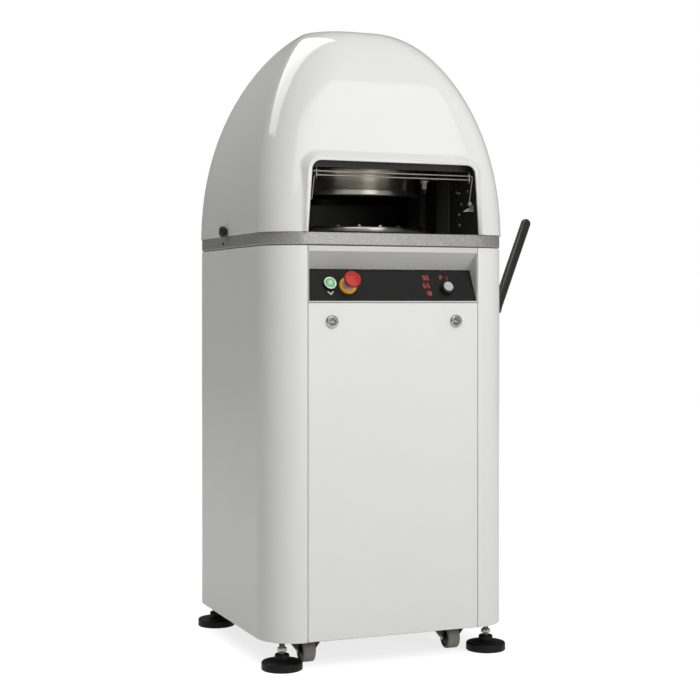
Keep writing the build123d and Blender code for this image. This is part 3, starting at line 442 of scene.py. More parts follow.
@dataclass(frozen=True)
class LitLens(Finish):
    """Tinted clear plastic over a lamp: pale in the middle, deeper towards the rim."""

    coat: ClassVar[float] = 0.3
    glow: float
    centre: Triple
    radius_mm: float

    def paint(self, tree: Tree, shader: Node, coords: Socket) -> None:
        """Fade the tint from the lens's middle to its rim.

        Args:
            tree: The material's node tree.
            shader: Its surface shader.
            coords: Object coordinates.
        """
        centre = tuple(value * MM for value in self.centre)
        reach = add_node(tree, "ShaderNodeVectorMath", {0: coords, 1: centre}, operation="DISTANCE")
        rim = {"Value": reach.outputs["Value"], "From Max": self.radius_mm * MM}
        fade = add_node(tree, "ShaderNodeMapRange", rim, interpolation_type="SMOOTHSTEP")
        tint = add_node(tree, "ShaderNodeMix", self.tones(fade.outputs[0]), data_type="RGBA").outputs[2]
        light = {"Emission Color": tint, "Emission Strength": self.glow}
        gloss = {"Roughness": self.roughness, "Coat Weight": self.coat}
        connect(tree, shader, {"Base Color": tint, **gloss, **light})


@dataclass(frozen=True)
class PrintedBoard(Finish):
    """Circuit board: solder mask with copper tracks showing through it."""

    track_mm: float

    def paint(self, tree: Tree, shader: Node, coords: Socket) -> None:
        """Lay the tracks out as a grid of bricks.

        Args:
            tree: The material's node tree.
            shader: Its surface shader.
            coords: Object coordinates.
        """
        mask = linear(self.colour)
        layout = {"Vector": coords, "Color1": mask, "Color2": mask, "Mortar": linear(self.shade)}
        tracks = add_node(tree, "ShaderNodeTexBrick", {**layout, "Scale": per_mm(self.track_mm)})
        connect(tree, shader, {"Base Color": tracks.outputs["Color"], "Roughness": self.roughness})


# White baked enamel on folded sheet: smooth, semi-gloss, with a faint orange peel in the highlights.
WHITE_ENAMEL = Coating("white_baked_enamel", "#e9e9e6", "#e6e6e3", 0.4, 2.2, 0.01, 160.0, coat=0.1)
# White enamel of the recess: painted a little greyer than the covers as painted shade in the recess, and
# glossier, so the buttons glint faintly in its roof.
SHADED_SATIN_ENAMEL = Coating("white_satin_enamel", "#d2d2cf", "#cececb", 0.33, 2.2, 0.006, 160.0, coat=0.1)
# Moulded gloss plastic: clean soft-edged reflections, very slight waviness.
GLOSS_ABS = Coating("moulded_gloss_abs", "#e8e8e6", "#e4e4e1", 0.08, 26.0, 0.02, 200.0)
# Hammered paint on the casting: mottled grey cells two to three millimetres wide.
HAMMERED = Hammertone("grey_hammertone_paint", "#bdbcb8", "#91908c", 0.34, 2.2, 0.12)
# Charcoal powder coat of the head's portal: a shade lighter than the liner, with a fine dry texture.
CHARCOAL_COAT = Coating("charcoal_powder_coat", "#686864", "#5e5e5a", 0.42, 0.9, 0.02, 60.0)
# Inner plates painted black: dull, so that the chamber stays dark.
LINER_BLACK = Coating("dull_black_paint", "#343432", "#3a3a37", 0.45, 1.1, 0.02, 80.0)
# Lever: enamelled bar, worn a little glossy by hands.
LEVER_BLACK = Coating("handled_black_enamel", "#232322", "#30302e", 0.17, 1.4, 0.008, 40.0, coat=0.5)
# Printed control film: very fine matt texture over black ink.
PANEL_FILM = Coating("textured_black_film", "#1c1c1c", "#202020", 0.5, 0.5, 0.012, 30.0, specular=0.2)
# Moulded black plastic of switches, knobs and caps: dark with a soft grey sheen.
BLACK_PLASTIC = Coating("moulded_black_plastic", "#101112", "#17181a", 0.36, 0.7, 0.01, 18.0)
# White plastic bezel: clean and slightly glossy.
WHITE_PLASTIC = Coating("moulded_white_plastic", "#f0f0ee", "#e8e8e6", 0.3, 0.9, 0.006, 14.0)
# Grey plastic of the dial's cap, the stop's neck and the guard's brackets: pale and soft.
GREY_PLASTIC = Coating("moulded_grey_plastic", "#b9bab8", "#adaeac", 0.38, 0.8, 0.008, 14.0)
# Red mushroom head: dense moulded plastic with a soft sheen.
RED_PLASTIC = Coating("moulded_red_plastic", "#c3221f", "#b41b1a", 0.34, 0.9, 0.008, 22.0)
# Yellow collar: opaque moulded plastic.
YELLOW_PLASTIC = Coating("moulded_yellow_plastic", "#f2b32a", "#e6a51d", 0.34, 0.9, 0.008, 22.0)
# Pale ink of the mark on the control film: flat and matt.
WHITE_INK = Coating("printed_grey_ink", "#c9c9c8", "#bdbdbc", 0.5, 0.5, 0.004, 8.0)
# Rubber of the feet: black, dusty, with a dry grain.
BLACK_RUBBER = Coating("black_rubber", "#0b0b0b", "#131312", 0.5, 1.2, 0.04, 25.0, specular=0.3)
# Caster tread: hard grey-green rubber, scuffed.
TREAD_RUBBER = Coating("grey_tread_rubber", "#a3a396", "#919186", 0.55, 1.5, 0.06, 12.0)
# Caster core: dark brown moulded nylon.
DARK_NYLON = Coating("dark_brown_nylon", "#37342c", "#2b2923", 0.45, 1.2, 0.02, 15.0)
# Drive belt: black rubber with a woven back.
BELT_RUBBER = Coating("belt_rubber", "#131313", "#1c1c1b", 0.7, 0.8, 0.05, 6.0)
# Motors, tank and press cylinder: painted cast alloy with sand grain.
PAINTED_CASTING = Coating("painted_cast_alloy", "#5d6a75", "#53606b", 0.48, 1.6, 0.07, 45.0)
# Switch box: matt moulded plastic in a middle grey.
GREY_ENCLOSURE = Coating("grey_enclosure_plastic", "#9fa19f", "#959795", 0.45, 1.0, 0.03, 60.0)
# Sight glass of the oil tank: amber plastic with a clear gloss.
AMBER_GLASS = Coating("amber_sight_glass", "#c98a2c", "#b77a20", 0.12, 4.0, 0.004, 30.0, coat=0.4)
# Seal in the reveal: grey rubber strip that takes the light softly.
GREY_SEAL = Coating("grey_rubber_seal", "#7c7b77", "#6f6e6a", 0.6, 1.2, 0.03, 25.0)
# Dark steel of the press plate, the knives and the ring's inner wall: painted nearly black, as painted shade
# under the head.
SHADED_DARK_STEEL = TurnedMetal("oiled_dark_steel", "#2c2c2a", "#20201f", 0.42, 1.4, 0.004)
# Polished stainless steel of the head ring: bright, with highlights drawn out round it.
POLISHED_STEEL = TurnedMetal("turned_polished_steel", "#eae3d4", "#d4cdbe", 0.34, 0.9, 0.003)
# Turned steel of the table and the plate on it: fine rings that draw its reflections towards the middle.
PLATE_STEEL = TurnedMetal(
    "turned_plate_steel", "#d2d2cf", "#b4b4b1", 0.26, 1.1, 0.004, tuple(middle_of("moulding_plate"))
)
# Bright zinc plate on small hardware: a cool grey glint.
ZINC_PLATE = DrawnMetal("bright_zinc_plate", "#c6c6c2", "#aeada8", 0.3, 1.8)
# Zinc flake coat of the sensor and the wing screws: a pale silver-grey that takes light from all sides.
ZINC_FLAKE = Coating("zinc_flake_coat", "#dcdbd6", "#c8c7c1", 0.38, 1.0, 0.01, 10.0, metallic=0.2)
# Drawn wire of the guard: pale, slightly warm plating.
GUARD_WIRE = DrawnMetal("plated_drawn_wire", "#a8a297", "#8d887c", 0.3, 1.2, (0.05, 1.0, 1.0))
# Plain steel of shafts and plates in the drive: ground, with a soft shine.
PLAIN_STEEL = DrawnMetal("ground_steel", "#b3b3b1", "#94948f", 0.34, 1.5)
# Dark plated steel of forks, plates and posts: a dull blackish sheen.
DARK_PLATE = DrawnMetal("blackened_steel", "#4b4b49", "#373735", 0.42, 2.0)
# Hard chrome of the piston rod: an even mirror.
CHROME = DrawnMetal("polished_chrome", "#dcdddd", "#cfd0d0", 0.1, 3.0, (1.0, 1.0, 1.0), 0.001)
# Satin nickel of the lock heads: a greyer, softer mirror than chrome.
SATIN_NICKEL = DrawnMetal("satin_nickel_plate", "#bfbfbd", "#a8a8a5", 0.22, 2.0, (1.0, 1.0, 1.0), 0.002)
# Nickel in the lock's well: the same plate, painted darker as painted shade in the recess, and duller.
SHADED_DULL_NICKEL = DrawnMetal("dull_nickel_plate", "#8a8a87", "#737370", 0.4, 2.0, (1.0, 1.0, 1.0), 0.004)
# Bearing bronze: a dull golden brown.
BRONZE = DrawnMetal("bearing_bronze", "#b58a4e", "#9c753f", 0.36, 1.5)
# Circuit board of the display: green mask with coppery lines.
BOARD = PrintedBoard("green_circuit_board", "#1f5a36", "#8a6a3a", 0.4, 12.0)


# Shapes


class Shape:
    """A mesh in the making, in millimetres."""

    def __init__(self) -> None:
        """Start empty."""
        self.bm = bmesh.new()
        self.oriented = False

    @classmethod
    def block(cls, low: Point, high: Point) -> "Shape":
        """Make a box.

        Args:
            low: Lowest corner.
            high: Highest corner.

        Returns:
            The box.
        """
        shape = cls()
        size = Vector(high) - Vector(low)
        place = Matrix.Translation((Vector(low) + Vector(high)) / 2) @ Matrix.Diagonal((*size, 1.0))
        bmesh.ops.create_cube(shape.bm, size=1.0, matrix=place)
        return shape

    @classmethod
    def turned(cls, profile: Profile, segments: int = Steps.PLAIN) -> "Shape":
        """Spin a profile round the shape's own Z.

        Args:
            profile: Points of radius and height, in order.
            segments: Steps of the full turn.

        Returns:
            The turned shape.
        """
        shape = cls()
        verts = [shape.bm.verts.new((radius, 0.0, height)) for radius, height in profile]
        edges = [shape.bm.edges.new(pair) for pair in zip(verts, verts[1:])]
        bmesh.ops.spin(
            shape.bm,
            geom=verts + edges,
            cent=(0, 0, 0),
            axis=AXIS_Z,
            angle=FULL_TURN,
            steps=segments,
            use_merge=True,
        )
        return shape.welded()

    @classmethod
    def rod(cls, radius: float, low: float, high: float, segments: int = Steps.PLAIN) -> "Shape":
        """Turn a plain rod between two heights."""
        return cls.turned([(0, low), (radius, low), (radius, high), (0, high)], segments)

    @classmethod
    def slab(cls, outline: Profile, thickness: float) -> "Shape":
        """Extrude a flat outline up the shape's own Z.

        Args:
            outline: Points in X and Y, in order.
            thickness: Height of the slab.

        Returns:
            The slab.
        """
        shape = cls()
        shape.bm.faces.new([shape.bm.verts.new((x, y, 0.0)) for x, y in outline])
        return shape.raised(thickness)

    @classmethod
    def strip(cls, outer: Profile, inner: Profile, thickness: float) -> "Shape":
        """Make a flat ring between two outlines with as many points.

        Args:
            outer: Outer outline.
            inner: Inner outline.
            thickness: Height of the ring.

        Returns:
            The ring.
        """
        shape = cls()
        edges = []
        for outline in (outer, inner):
            loop = [shape.bm.verts.new((x, y, 0.0)) for x, y in outline]
            edges += [shape.bm.edges.new(pair) for pair in zip(loop, loop[1:] + loop[:1])]
        bmesh.ops.bridge_loops(shape.bm, edges=edges)
        return shape.raised(thickness)

    @classmethod
    def wire(cls, points: Sequence[Vector], radius: float, bend: float, steps: int = 8) -> "Shape":
        """Bend a round wire along straight runs.

        Args:
            points: Corners of its middle line.
            radius: Wire radius.
            bend: Bend radius of the middle line at each inner corner.
            steps: Steps of each bend.

        Returns:
            The wire, closed at both ends.
        """
        shape = cls()
        runs = [(b - a).normalized() for a, b in zip(points, points[1:])]
        start = placed(points[0], runs[0], runs[0].orthogonal())
        section = bmesh.ops.create_circle(
            shape.bm, cap_ends=True, segments=Steps.BOLT, radius=radius, matrix=start
        )
        edges = list({edge for vert in section["verts"] for edge in vert.link_edges})
        here = points[0]
        for run, after, corner in zip(runs, [*runs[1:], None], points[1:]):
            turn = 0.0 if after is None else run.angle(after)
            setback = bend * math.tan(turn / 2)
            stop = corner - run * setback
            made = bmesh.ops.extrude_edge_only(shape.bm, edges=edges)["geom"]
            verts = [item for item in made if isinstance(item, bmesh.types.BMVert)]
            edges = [item for item in made if isinstance(item, bmesh.types.BMEdge)]
            edges = [edge for edge in edges if all(vert in verts for vert in edge.verts)]
            bmesh.ops.translate(shape.bm, vec=stop - here, verts=verts)
            if after is not None:
                hinge = run.cross(after).normalized()
                centre = stop + hinge.cross(run) * bend
                bent = bmesh.ops.spin(
                    shape.bm, geom=verts + edges, cent=centre, axis=hinge, angle=turn, steps=steps
                )["geom_last"]
                edges = [item for item in bent if isinstance(item, bmesh.types.BMEdge)]
                here = corner + after * setback
        bmesh.ops.contextual_create(shape.bm, geom=edges)
        return shape.welded()

    @classmethod
    def copy_of(cls, node: str) -> "Shape":
        """Copy a CAD node's mesh, with its loose triangles joined up.

        Args:
            node: Name of the CAD node.

        Returns:
            The copy.
        """
        shape = cls()
        shape.bm.from_mesh(frame["nodes"][node].data)
        bmesh.ops.scale(shape.bm, vec=(1 / MM,) * 3, verts=shape.bm.verts)
        shape.oriented = True
        return shape.welded()

    def welded(self) -> "Shape":
        """Merge doubled points and drop edges of no length.

        Returns:
            The shape itself.
        """
        bmesh.ops.remove_doubles(self.bm, verts=self.bm.verts, dist=WELD_MM)
        bmesh.ops.dissolve_degenerate(self.bm, dist=WELD_MM / 2, edges=self.bm.edges)
        return self

    def closed(self, sliver: float, rounds: int) -> "Shape":
        """Take out slivers and the faces round edges that don't close, and fill what they leave.

        Args:
            sliver: Points nearer to each other than this are merged.
            rounds: Most rounds of cutting and filling.

        Returns:
            The shape itself.
        """
        bmesh.ops.remove_doubles(self.bm, verts=self.bm.verts, dist=sliver)
        bmesh.ops.dissolve_degenerate(self.bm, dist=sliver, edges=self.bm.edges)
        for _ in range(rounds):
            faulty = [edge for edge in self.bm.edges if not edge.is_manifold]
            if not faulty:
                break
            around = {face for edge in faulty for vert in edge.verts for face in vert.link_faces}
            bmesh.ops.delete(self.bm, geom=list(around), context="FACES")
            loose = [edge for edge in self.bm.edges if edge.is_wire]
            bmesh.ops.delete(self.bm, geom=loose, context="EDGES")
            rims = [edge for edge in self.bm.edges if edge.is_boundary]
            patches = bmesh.ops.holes_fill(self.bm, edges=rims)["faces"]
            bmesh.ops.triangulate(self.bm, faces=patches)
            bmesh.ops.dissolve_degenerate(self.bm, dist=sliver, edges=self.bm.edges)
        return self

    def raised(self, height: float) -> "Shape":
        """Extrude all faces up the shape's own Z, keeping the faces below.

        Args:
            height: How far up.

        Returns:
            The shape itself.
        """
        kept = bmesh.ops.duplicate(self.bm, geom=self.bm.faces[:])["geom"]
        below = [item for item in kept if isinstance(item, bmesh.types.BMFace)]
        faces = [face for face in self.bm.faces if face not in below]
        made = bmesh.ops.extrude_face_region(self.bm, geom=faces)["geom"]
        verts = [item for item in made if isinstance(item, bmesh.types.BMVert)]
        bmesh.ops.translate(self.bm, vec=(0, 0, height), verts=verts)
        return self.welded()

    def flattened(self, degrees: float = 0.4) -> "Shape":
        """Dissolve the edges inside flat faces.

        Args:
            degrees: Greatest angle between faces that count as one.

        Returns:
            The shape itself.
        """
        limit = math.radians(degrees)
        bmesh.ops.dissolve_limit(self.bm, angle_limit=limit, verts=self.bm.verts, edges=self.bm.edges)
        return self

    def rounded(self, radius: float, segments: int = 2, sharper: float = 40.0) -> "Shape":
        """Round the sharp edges.

        Args:
            radius: Bevel offset.
            segments: Bevel segments.
            sharper: Least angle between an edge's faces, in degrees.

        Returns:
            The shape itself.
        """
        bmesh.ops.recalc_face_normals(self.bm, faces=self.bm.faces)
        limit = math.radians(sharper)
        edges = [edge for edge in self.bm.edges if edge.is_manifold and edge.calc_face_angle(0.0) > limit]
        bmesh.ops.bevel(
            self.bm,
            geom=edges,
            offset=radius,
            affect="EDGES",
            segments=segments,
            profile=0.5,
            material=-1,
            clamp_overlap=True,
        )
        return self

    def cut(self, point: Point, normal: Point) -> "Shape":
        """Cut away what lies on the normal's side of a plane and close the cut.

        Args:
            point: A point of the plane.
            normal: Its normal.

        Returns:
            The shape itself.
        """
        parts = [*self.bm.verts, *self.bm.edges, *self.bm.faces]
        made = bmesh.ops.bisect_plane(
            self.bm, geom=parts, plane_co=point, plane_no=normal, clear_outer=True
        )["geom_cut"]
        edges = [item for item in made if isinstance(item, bmesh.types.BMEdge)]
        bmesh.ops.holes_fill(self.bm, edges=edges)
        self.oriented = False
        return self

    def moved(self, place: Matrix) -> "Shape":
        """Set the shape down by a matrix."""
        bmesh.ops.transform(self.bm, matrix=place, verts=self.bm.verts)
        return self

    def shifted(self, x: float, y: float, z: float) -> "Shape":
        """Move the shape along the frame's axes."""
        return self.moved(Matrix.Translation((x, y, z)))

    def fluted(self, count: int, depth: float, inside: float, low: float, high: float) -> "Shape":
        """Press shallow flutes into the side of a turned shape.

        Args:
            count: Number of flutes.
            depth: Their depth.
            inside: Points nearer to the axis than this stay.
            low: Lowest height that is fluted.
            high: Highest height that is fluted.

        Returns:
            The shape itself.
        """
        for vert in self.bm.verts:
            radius = math.hypot(vert.co.x, vert.co.y)
            if radius > inside and low < vert.co.z < high:
                wave = 0.5 - 0.5 * math.cos(count * math.atan2(vert.co.y, vert.co.x))
                share = 1 - depth * wave / radius
                vert.co.x *= share
                vert.co.y *= share
        return self

    def joined(self, *others: "Shape") -> "Shape":
        """Take other shapes into this one.

        Args:
            *others: Shapes that are used up.

        Returns:
            The shape itself.
        """
        for other in others:
            mesh = bpy.data.meshes.new("joined")
            other.bm.to_mesh(mesh)
            other.bm.free()
            self.bm.from_mesh(mesh)
            bpy.data.meshes.remove(mesh)
        return self

    def piece(
        self,
        name: str,
        finish: Finish,
        body: str,
        slot: str,
        *replaced: str,
        smooth: float = 35.0,
        flat: bool = False,
    ) -> None:
        """Turn the shape into a finished piece on a body.

        Args:
            name: Name of the piece.
            finish: Its finish.
            body: CAD body that it rides on.
            slot: Material slot of the record; not used.
            *replaced: CAD nodes that it stands for.
            smooth: Edges sharper than this many degrees stay sharp in the shading.
            flat: Whether large faces keep a flat shading beside their rounded edges.
        """
        self.welded()
        if not self.oriented:
            bmesh.ops.recalc_face_normals(self.bm, faces=self.bm.faces)
        bmesh.ops.scale(self.bm, vec=(MM,) * 3, verts=self.bm.verts)
        mesh = bpy.data.meshes.new(name)
        self.bm.to_mesh(mesh)
        self.bm.free()
        mesh.shade_smooth()
        mesh.set_sharp_from_angle(angle=math.radians(smooth))
        mesh.materials.append(finish.material())
        made = bpy.data.objects.new(name, mesh)
        bpy.context.scene.collection.objects.link(made)
        if flat:
            made.modifiers.new("flat_faces", "WEIGHTED_NORMAL").keep_sharp = True
        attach(made, body)
        if replaced:
            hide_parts(*replaced)
        LOG.info("%s: %d faces on %s", name, len(mesh.polygons), body)


def dress(finish: Finish, *nodes: str) -> None:
    """Give CAD nodes that stay in view their finish.

    Args:
        finish: The finish.
        *nodes: Names of the nodes.
    """
    for node in nodes:
        materials = frame["nodes"][node].data.materials
        materials.clear()
        materials.append(finish.material())
        LOG.info("%s: kept, %s", node, finish.name)


@dataclass(frozen=True)
class Nut:
    """A hexagonal nut or bolt head: its width across the flats, its height and its chamfer."""

    across: float
    height: float
    chamfer: float

    def shape(self) -> Shape:
        """Make the nut on its own Z.

        Returns:
            The nut.
        """
        shape = Shape()
        bmesh.ops.create_circle(shape.bm, cap_ends=True, segments=6, radius=self.across / math.sqrt(3))
        return shape.raised(self.height).rounded(self.chamfer)


@dataclass(frozen=True)
class Screw:
    """A round screw head with a six-sided socket, given by its width across the flats."""

    socket_lead: ClassVar[float] = 0.75
    floor_height: ClassVar[float] = 0.2
    floor_edge: ClassVar[float] = 0.05
    radius: float
    height: float
    socket: float

    def head(self) -> Shape:
        """Make the head on its own Z.

        Returns:
            The head.
        """
        half = self.height / 2
        profile = [(0, 0), (self.radius, 0), *arc((self.radius - half, half), half, 0, 90, 5)]
        profile += [(self.socket * self.socket_lead, self.height), (0, self.height)]
        floor = Nut(self.socket, self.floor_height, self.floor_edge).shape()
        return Shape.turned(profile, Steps.SCREW).joined(floor.shifted(0, 0, self.height))

    def row(self, name: str, finish: Finish, slot: str, places: Iterable[Matrix]) -> None:
        """Set screws in the frame, as one piece.

        Args:
            name: Name of the piece.
            finish: Its finish.
            slot: Material slot of the record, passed to the piece, which doesn't use it.
            places: Where the heads sit.
        """
        heads = Shape().joined(*[self.head().moved(place) for place in places])
        heads.piece(name, finish, "frame", slot)


@dataclass(frozen=True)
class Thread:
    """A threaded rod, its thread drawn as rings, with a short taper at its upper end."""

    radius: float
    depth: float
    pitch: float
    runout: float
    taper: float

    def rod(self, low: float, high: float) -> Shape:
        """Turn the rod on its own Z.

        Args:
            low: Lower end.
            high: Upper end.

        Returns:
            The rod.
        """
        root = self.radius - self.depth
        profile = [(0, low), (root, low)]
        for turn in range(int((high - low - self.runout) / self.pitch)):
            foot = low + turn * self.pitch
            profile += [(self.radius, foot + self.pitch / 2), (root, foot + self.pitch)]
        return Shape.turned([*profile, (self.radius - self.taper, high), (0, high)], Steps.ROD)


# Sub-assemblies


@dataclass
class Cabinet:
    """White folded covers round the cabinet, with the rear panel's louvres and fasteners."""

    edge: float = 0.7
    rear_edge: float = 0.35
    seal_inset: float = 4.0
    seal_depth: float = 6.0
    corner_radius: float = 90.0
    louvre_out: float = 4.5
    louvre_wall: float = 1.2
    louvre_width: float = 130.0
    louvre_height: float = 7.0
    louvre_pitch: float = 20.0
    louvre_rows: int = 9
    louvre_spacing: float = 190.0
    louvre_bottom: float = 430.0
    screw: Screw = Screw(4.5, 2.6, 3.0)
    screw_inset: float = 12.0
    screw_shares: tuple[float, ...] = (0.06, 0.35, 0.65, 0.94)
    gland_bore: float = 5.0
    gland_neck: float = 11.0
    gland_grip: float = 13.5
    gland_nut: Nut = Nut(26.0, 7.0, 0.8)
    grip_gap: float = 0.5
    grip_end: float = 9.0
    dome_centre: Pair = (7.0, 6.5)
    dome_radius: float = 6.0
    ribs: int = 24
    rib_depth: float = 0.8
    rib_margin: float = 8.0

    def build(self) -> None:
        """Build the covers, the seal under the casting and the rear details."""
        for node, name, body, edge in (
            ("left_side_panel", "side_cover_left", "frame", self.edge),
            ("right_side_panel", "side_cover_right", "frame", self.edge),
            ("front_panel", "front_door", "front_panel", self.edge),
            ("rear_panel", "rear_cover", "frame", self.rear_edge),
        ):
            skin = Shape.copy_of(node).flattened().rounded(edge)
            skin.piece(name, WHITE_ENAMEL, body, "white_enamel", node, flat=True)
        self.seal()
        self.louvres()
        self.rear_screws()
        self.gland()
        dress(DARK_PLATE, "base_plate", "frame_posts")

    def seal(self) -> None:
        """Lay a grey rubber seal in the reveal under the casting."""
        low, high = box_of("table_casting")
        bottom = box_of("left_side_panel")[1].z
        outer, inner = [
            rounded_rectangle(high.x - inset, high.y - inset, self.corner_radius - inset)
            for inset in (self.seal_inset, self.seal_inset + self.seal_depth)
        ]
        strip = Shape.strip(outer, inner, low.z - bottom).shifted(0, 0, bottom)
        strip.piece("casting_seal", GREY_SEAL, "frame", "black_plastic")

    def louvres(self) -> None:
        """Press a half-round hood over each slot of the rear panel."""
        rear = box_of("left_side_panel")[1].y
        wall = self.louvre_wall
        top = self.louvre_height + 2 * wall
        arch = [(self.louvre_out * y, top * z) for y, z in arc((0, 0), 1.0, 90, 0)]
        back = [(y - wall, z - wall) for y, z in reversed(arch) if y > wall]
        hoods = Shape()
        for side in Side:
            x = (side.value * self.louvre_spacing - self.louvre_width) / 2
            for row in range(self.louvre_rows):
                lip = Shape.slab([*arch, *back, (0.0, top - wall)], self.louvre_width)
                hoods.joined(lip.moved(sideways((x, rear, self.louvre_bottom + row * self.louvre_pitch))))
        hoods.piece("rear_louvres", WHITE_ENAMEL, "frame", "white_enamel")

    def rear_screws(self) -> None:
        """Set screws along both edges of the rear panel."""
        low, high = box_of("rear_panel")
        across = high.x - self.screw_inset
        levels = [low.z + share * (high.z - low.z) for share in self.screw_shares]
        seats = [placed((side.value * across, high.y, level), AXIS_Y) for side in Side for level in levels]
        self.screw.row("rear_screws", ZINC_PLATE, "zinc_steel", seats)

    def gland(self) -> None:
        """Turn the cable gland: a nut, a ribbed neck and an open bore."""
        low, high = box_of("cable_gland")
        middle = middle_of("cable_gland")
        face = box_of("rear_panel")[1].y
        bore, neck, grip = self.gland_bore, self.gland_neck, self.gland_grip
        foot, reach = low.y - face, high.y - face
        nut = self.gland_nut.height
        dome = (self.dome_centre[0], reach - self.dome_centre[1])
        profile = [(bore, foot), (neck, foot), (neck, nut), (grip, nut + self.grip_gap)]
        profile += [(grip, reach - self.grip_end), *arc(dome, self.dome_radius, 0, 80)]
        profile += [(bore, reach), (bore, foot)]
        body = Shape.turned(profile, Steps.PART)
        body.fluted(self.ribs, self.rib_depth, neck, self.rib_margin, reach - self.rib_margin)
        body.joined(self.gland_nut.shape(), self.gland_nut.shape().shifted(0, 0, foot))
        body.moved(placed((middle.x, face, middle.z), AXIS_Y))
        body.piece("rear_gland", BLACK_PLASTIC, "frame", "black_plastic", "cable_gland")


@dataclass
class Table:
    """Cast rim with its side screws, the rounding table and the moulding plate."""

    screw: Screw = Screw(4.0, 2.2, 3.0)
    screw_place: Pair = (41.0, 986.0)
    ridge_count: int = 24
    ridge_height: float = 3.4
    ridge_width: float = 12.0
    ridge_crest: float = 0.4
    ridge_sink: float = 0.4
    ridge_edge: float = 0.3
    ridge_inner: float = 190.5
    ridge_outer: float = 201.0

    def build(self) -> None:
        """Build the casting, its screws and the plate."""
        casting = Shape.copy_of("table_casting")
        casting.piece("cast_table", HAMMERED, "frame", "hammertone_paint", "table_casting")
        rim = box_of("table_casting")[1].x
        seats = [sideways((side.value * rim, *self.screw_place), side.value) for side in Side]
        self.screw.row("casting_screws", DARK_PLATE, "plain_steel", seats)
        dress(PLATE_STEEL, "rounding_table")
        plate = Shape.copy_of("moulding_plate")
        plate.piece("dough_plate", PLATE_STEEL, "moulding_plate", "polished_aluminium", "moulding_plate")
        self.ridges()

    def ridges(self) -> None:
        """Raise a low ridge on the rim between neighbouring pockets."""
        centre = middle_of("moulding_plate")
        place = Matrix.Translation((centre.x, centre.y, box_of("moulding_plate")[1].z))
        half, crest = self.ridge_width / 2, self.ridge_crest
        section = [(-half, -self.ridge_sink), (half, -self.ridge_sink)]
        section += [(crest, self.ridge_height), (-crest, self.ridge_height)]
        ridges = Shape()
        for index in range(self.ridge_count):
            turn = Matrix.Rotation(FULL_TURN * index / self.ridge_count, 4, "Z")
            ridge = Shape.slab(section, self.ridge_outer - self.ridge_inner).rounded(self.ridge_edge)
            ridges.joined(ridge.moved(sideways((self.ridge_inner, 0, 0))).moved(place @ turn))
        ridges.piece("plate_ridges", PLATE_STEEL, "moulding_plate", "polished_aluminium")


@dataclass
class Hood:
    """Moulded hood and the two screw knobs that hold it."""

    sliver: float = 0.05
    mend_rounds: int = 16
    crease: float = 30.0
    knob_radius: float = 13.5
    knob_edge: float = 3.0
    knob_gap: float = 1.0
    stud_radius: float = 5.0
    collar_radius: float = 9.0
    collar_height: float = 4.0
    chamfer: float = 1.0
    face_rise: float = 0.6
    face_share: float = 0.5
    face_drop: float = 0.15
    flutes: int = 20
    flute_depth: float = 0.5

    def build(self) -> None:
        """Build the shell and its knobs."""
        shell = Shape.copy_of("hood").closed(self.sliver, self.mend_rounds)
        shell.piece("hood_shell", GLOSS_ABS, "hood", "white_abs", "hood", smooth=self.crease)
        for side in Side:
            self.knob(side)

    def knob(self, side: Side) -> None:
        """Turn one knob: a stud, a collar and a fluted grip with a domed face.

        Args:
            side: Which of the two.
        """
        node = f"hood_knob_{side.word}"
        wall = self.knob_gap + box_of("table_casting")[1].x
        inner, outer = sorted(abs(corner.x) - wall for corner in box_of(node))
        radius, edge, collar = self.knob_radius, self.knob_edge, self.collar_height
        shoulder = outer - edge - self.face_rise
        profile = [(0, inner), (self.stud_radius, inner), (self.stud_radius, 0), (self.collar_radius, 0)]
        profile += [(self.collar_radius, collar), (radius - self.chamfer, collar)]
        profile += [(radius, collar + self.chamfer), (radius, shoulder)]
        profile += arc((radius - edge, shoulder), edge, 10, 80, 5)
        profile += [(radius * self.face_share, outer - self.face_drop), (0, outer)]
        knob = Shape.turned(profile, Steps.FLUTED)
        knob.fluted(self.flutes, self.flute_depth, radius - edge / 2, collar, outer - edge)
        middle = middle_of(node)
        knob.moved(sideways((side.value * wall, middle.y, middle.z), side.value))
        knob.piece(f"hood_knob_grip_{side.word}", BLACK_PLASTIC, node, "black_plastic", node)


class Segment(Enum):
    """Bars of a lit digit: middle across and up in widths of the digit, and whether it lies level."""

    TOP = (0.0, 1.0, True)
    UPPER_RIGHT = (0.5, 0.5, False)
    LOWER_RIGHT = (0.5, -0.5, False)
    BOTTOM = (0.0, -1.0, True)
    LOWER_LEFT = (-0.5, -0.5, False)
    UPPER_LEFT = (-0.5, 0.5, False)
    MIDDLE = (0.0, 0.0, True)


LIT_BARS = {
    "0": "TOP UPPER_RIGHT LOWER_RIGHT BOTTOM LOWER_LEFT UPPER_LEFT",
    "1": "UPPER_RIGHT LOWER_RIGHT",
    "3": "TOP UPPER_RIGHT MIDDLE LOWER_RIGHT BOTTOM",
    "5": "TOP UPPER_LEFT MIDDLE LOWER_RIGHT BOTTOM",
    "6": "TOP UPPER_LEFT MIDDLE LOWER_LEFT LOWER_RIGHT BOTTOM",
    "8": "TOP UPPER_RIGHT UPPER_LEFT MIDDLE LOWER_LEFT LOWER_RIGHT BOTTOM",
    "P": "TOP UPPER_RIGHT UPPER_LEFT MIDDLE LOWER_LEFT",
}


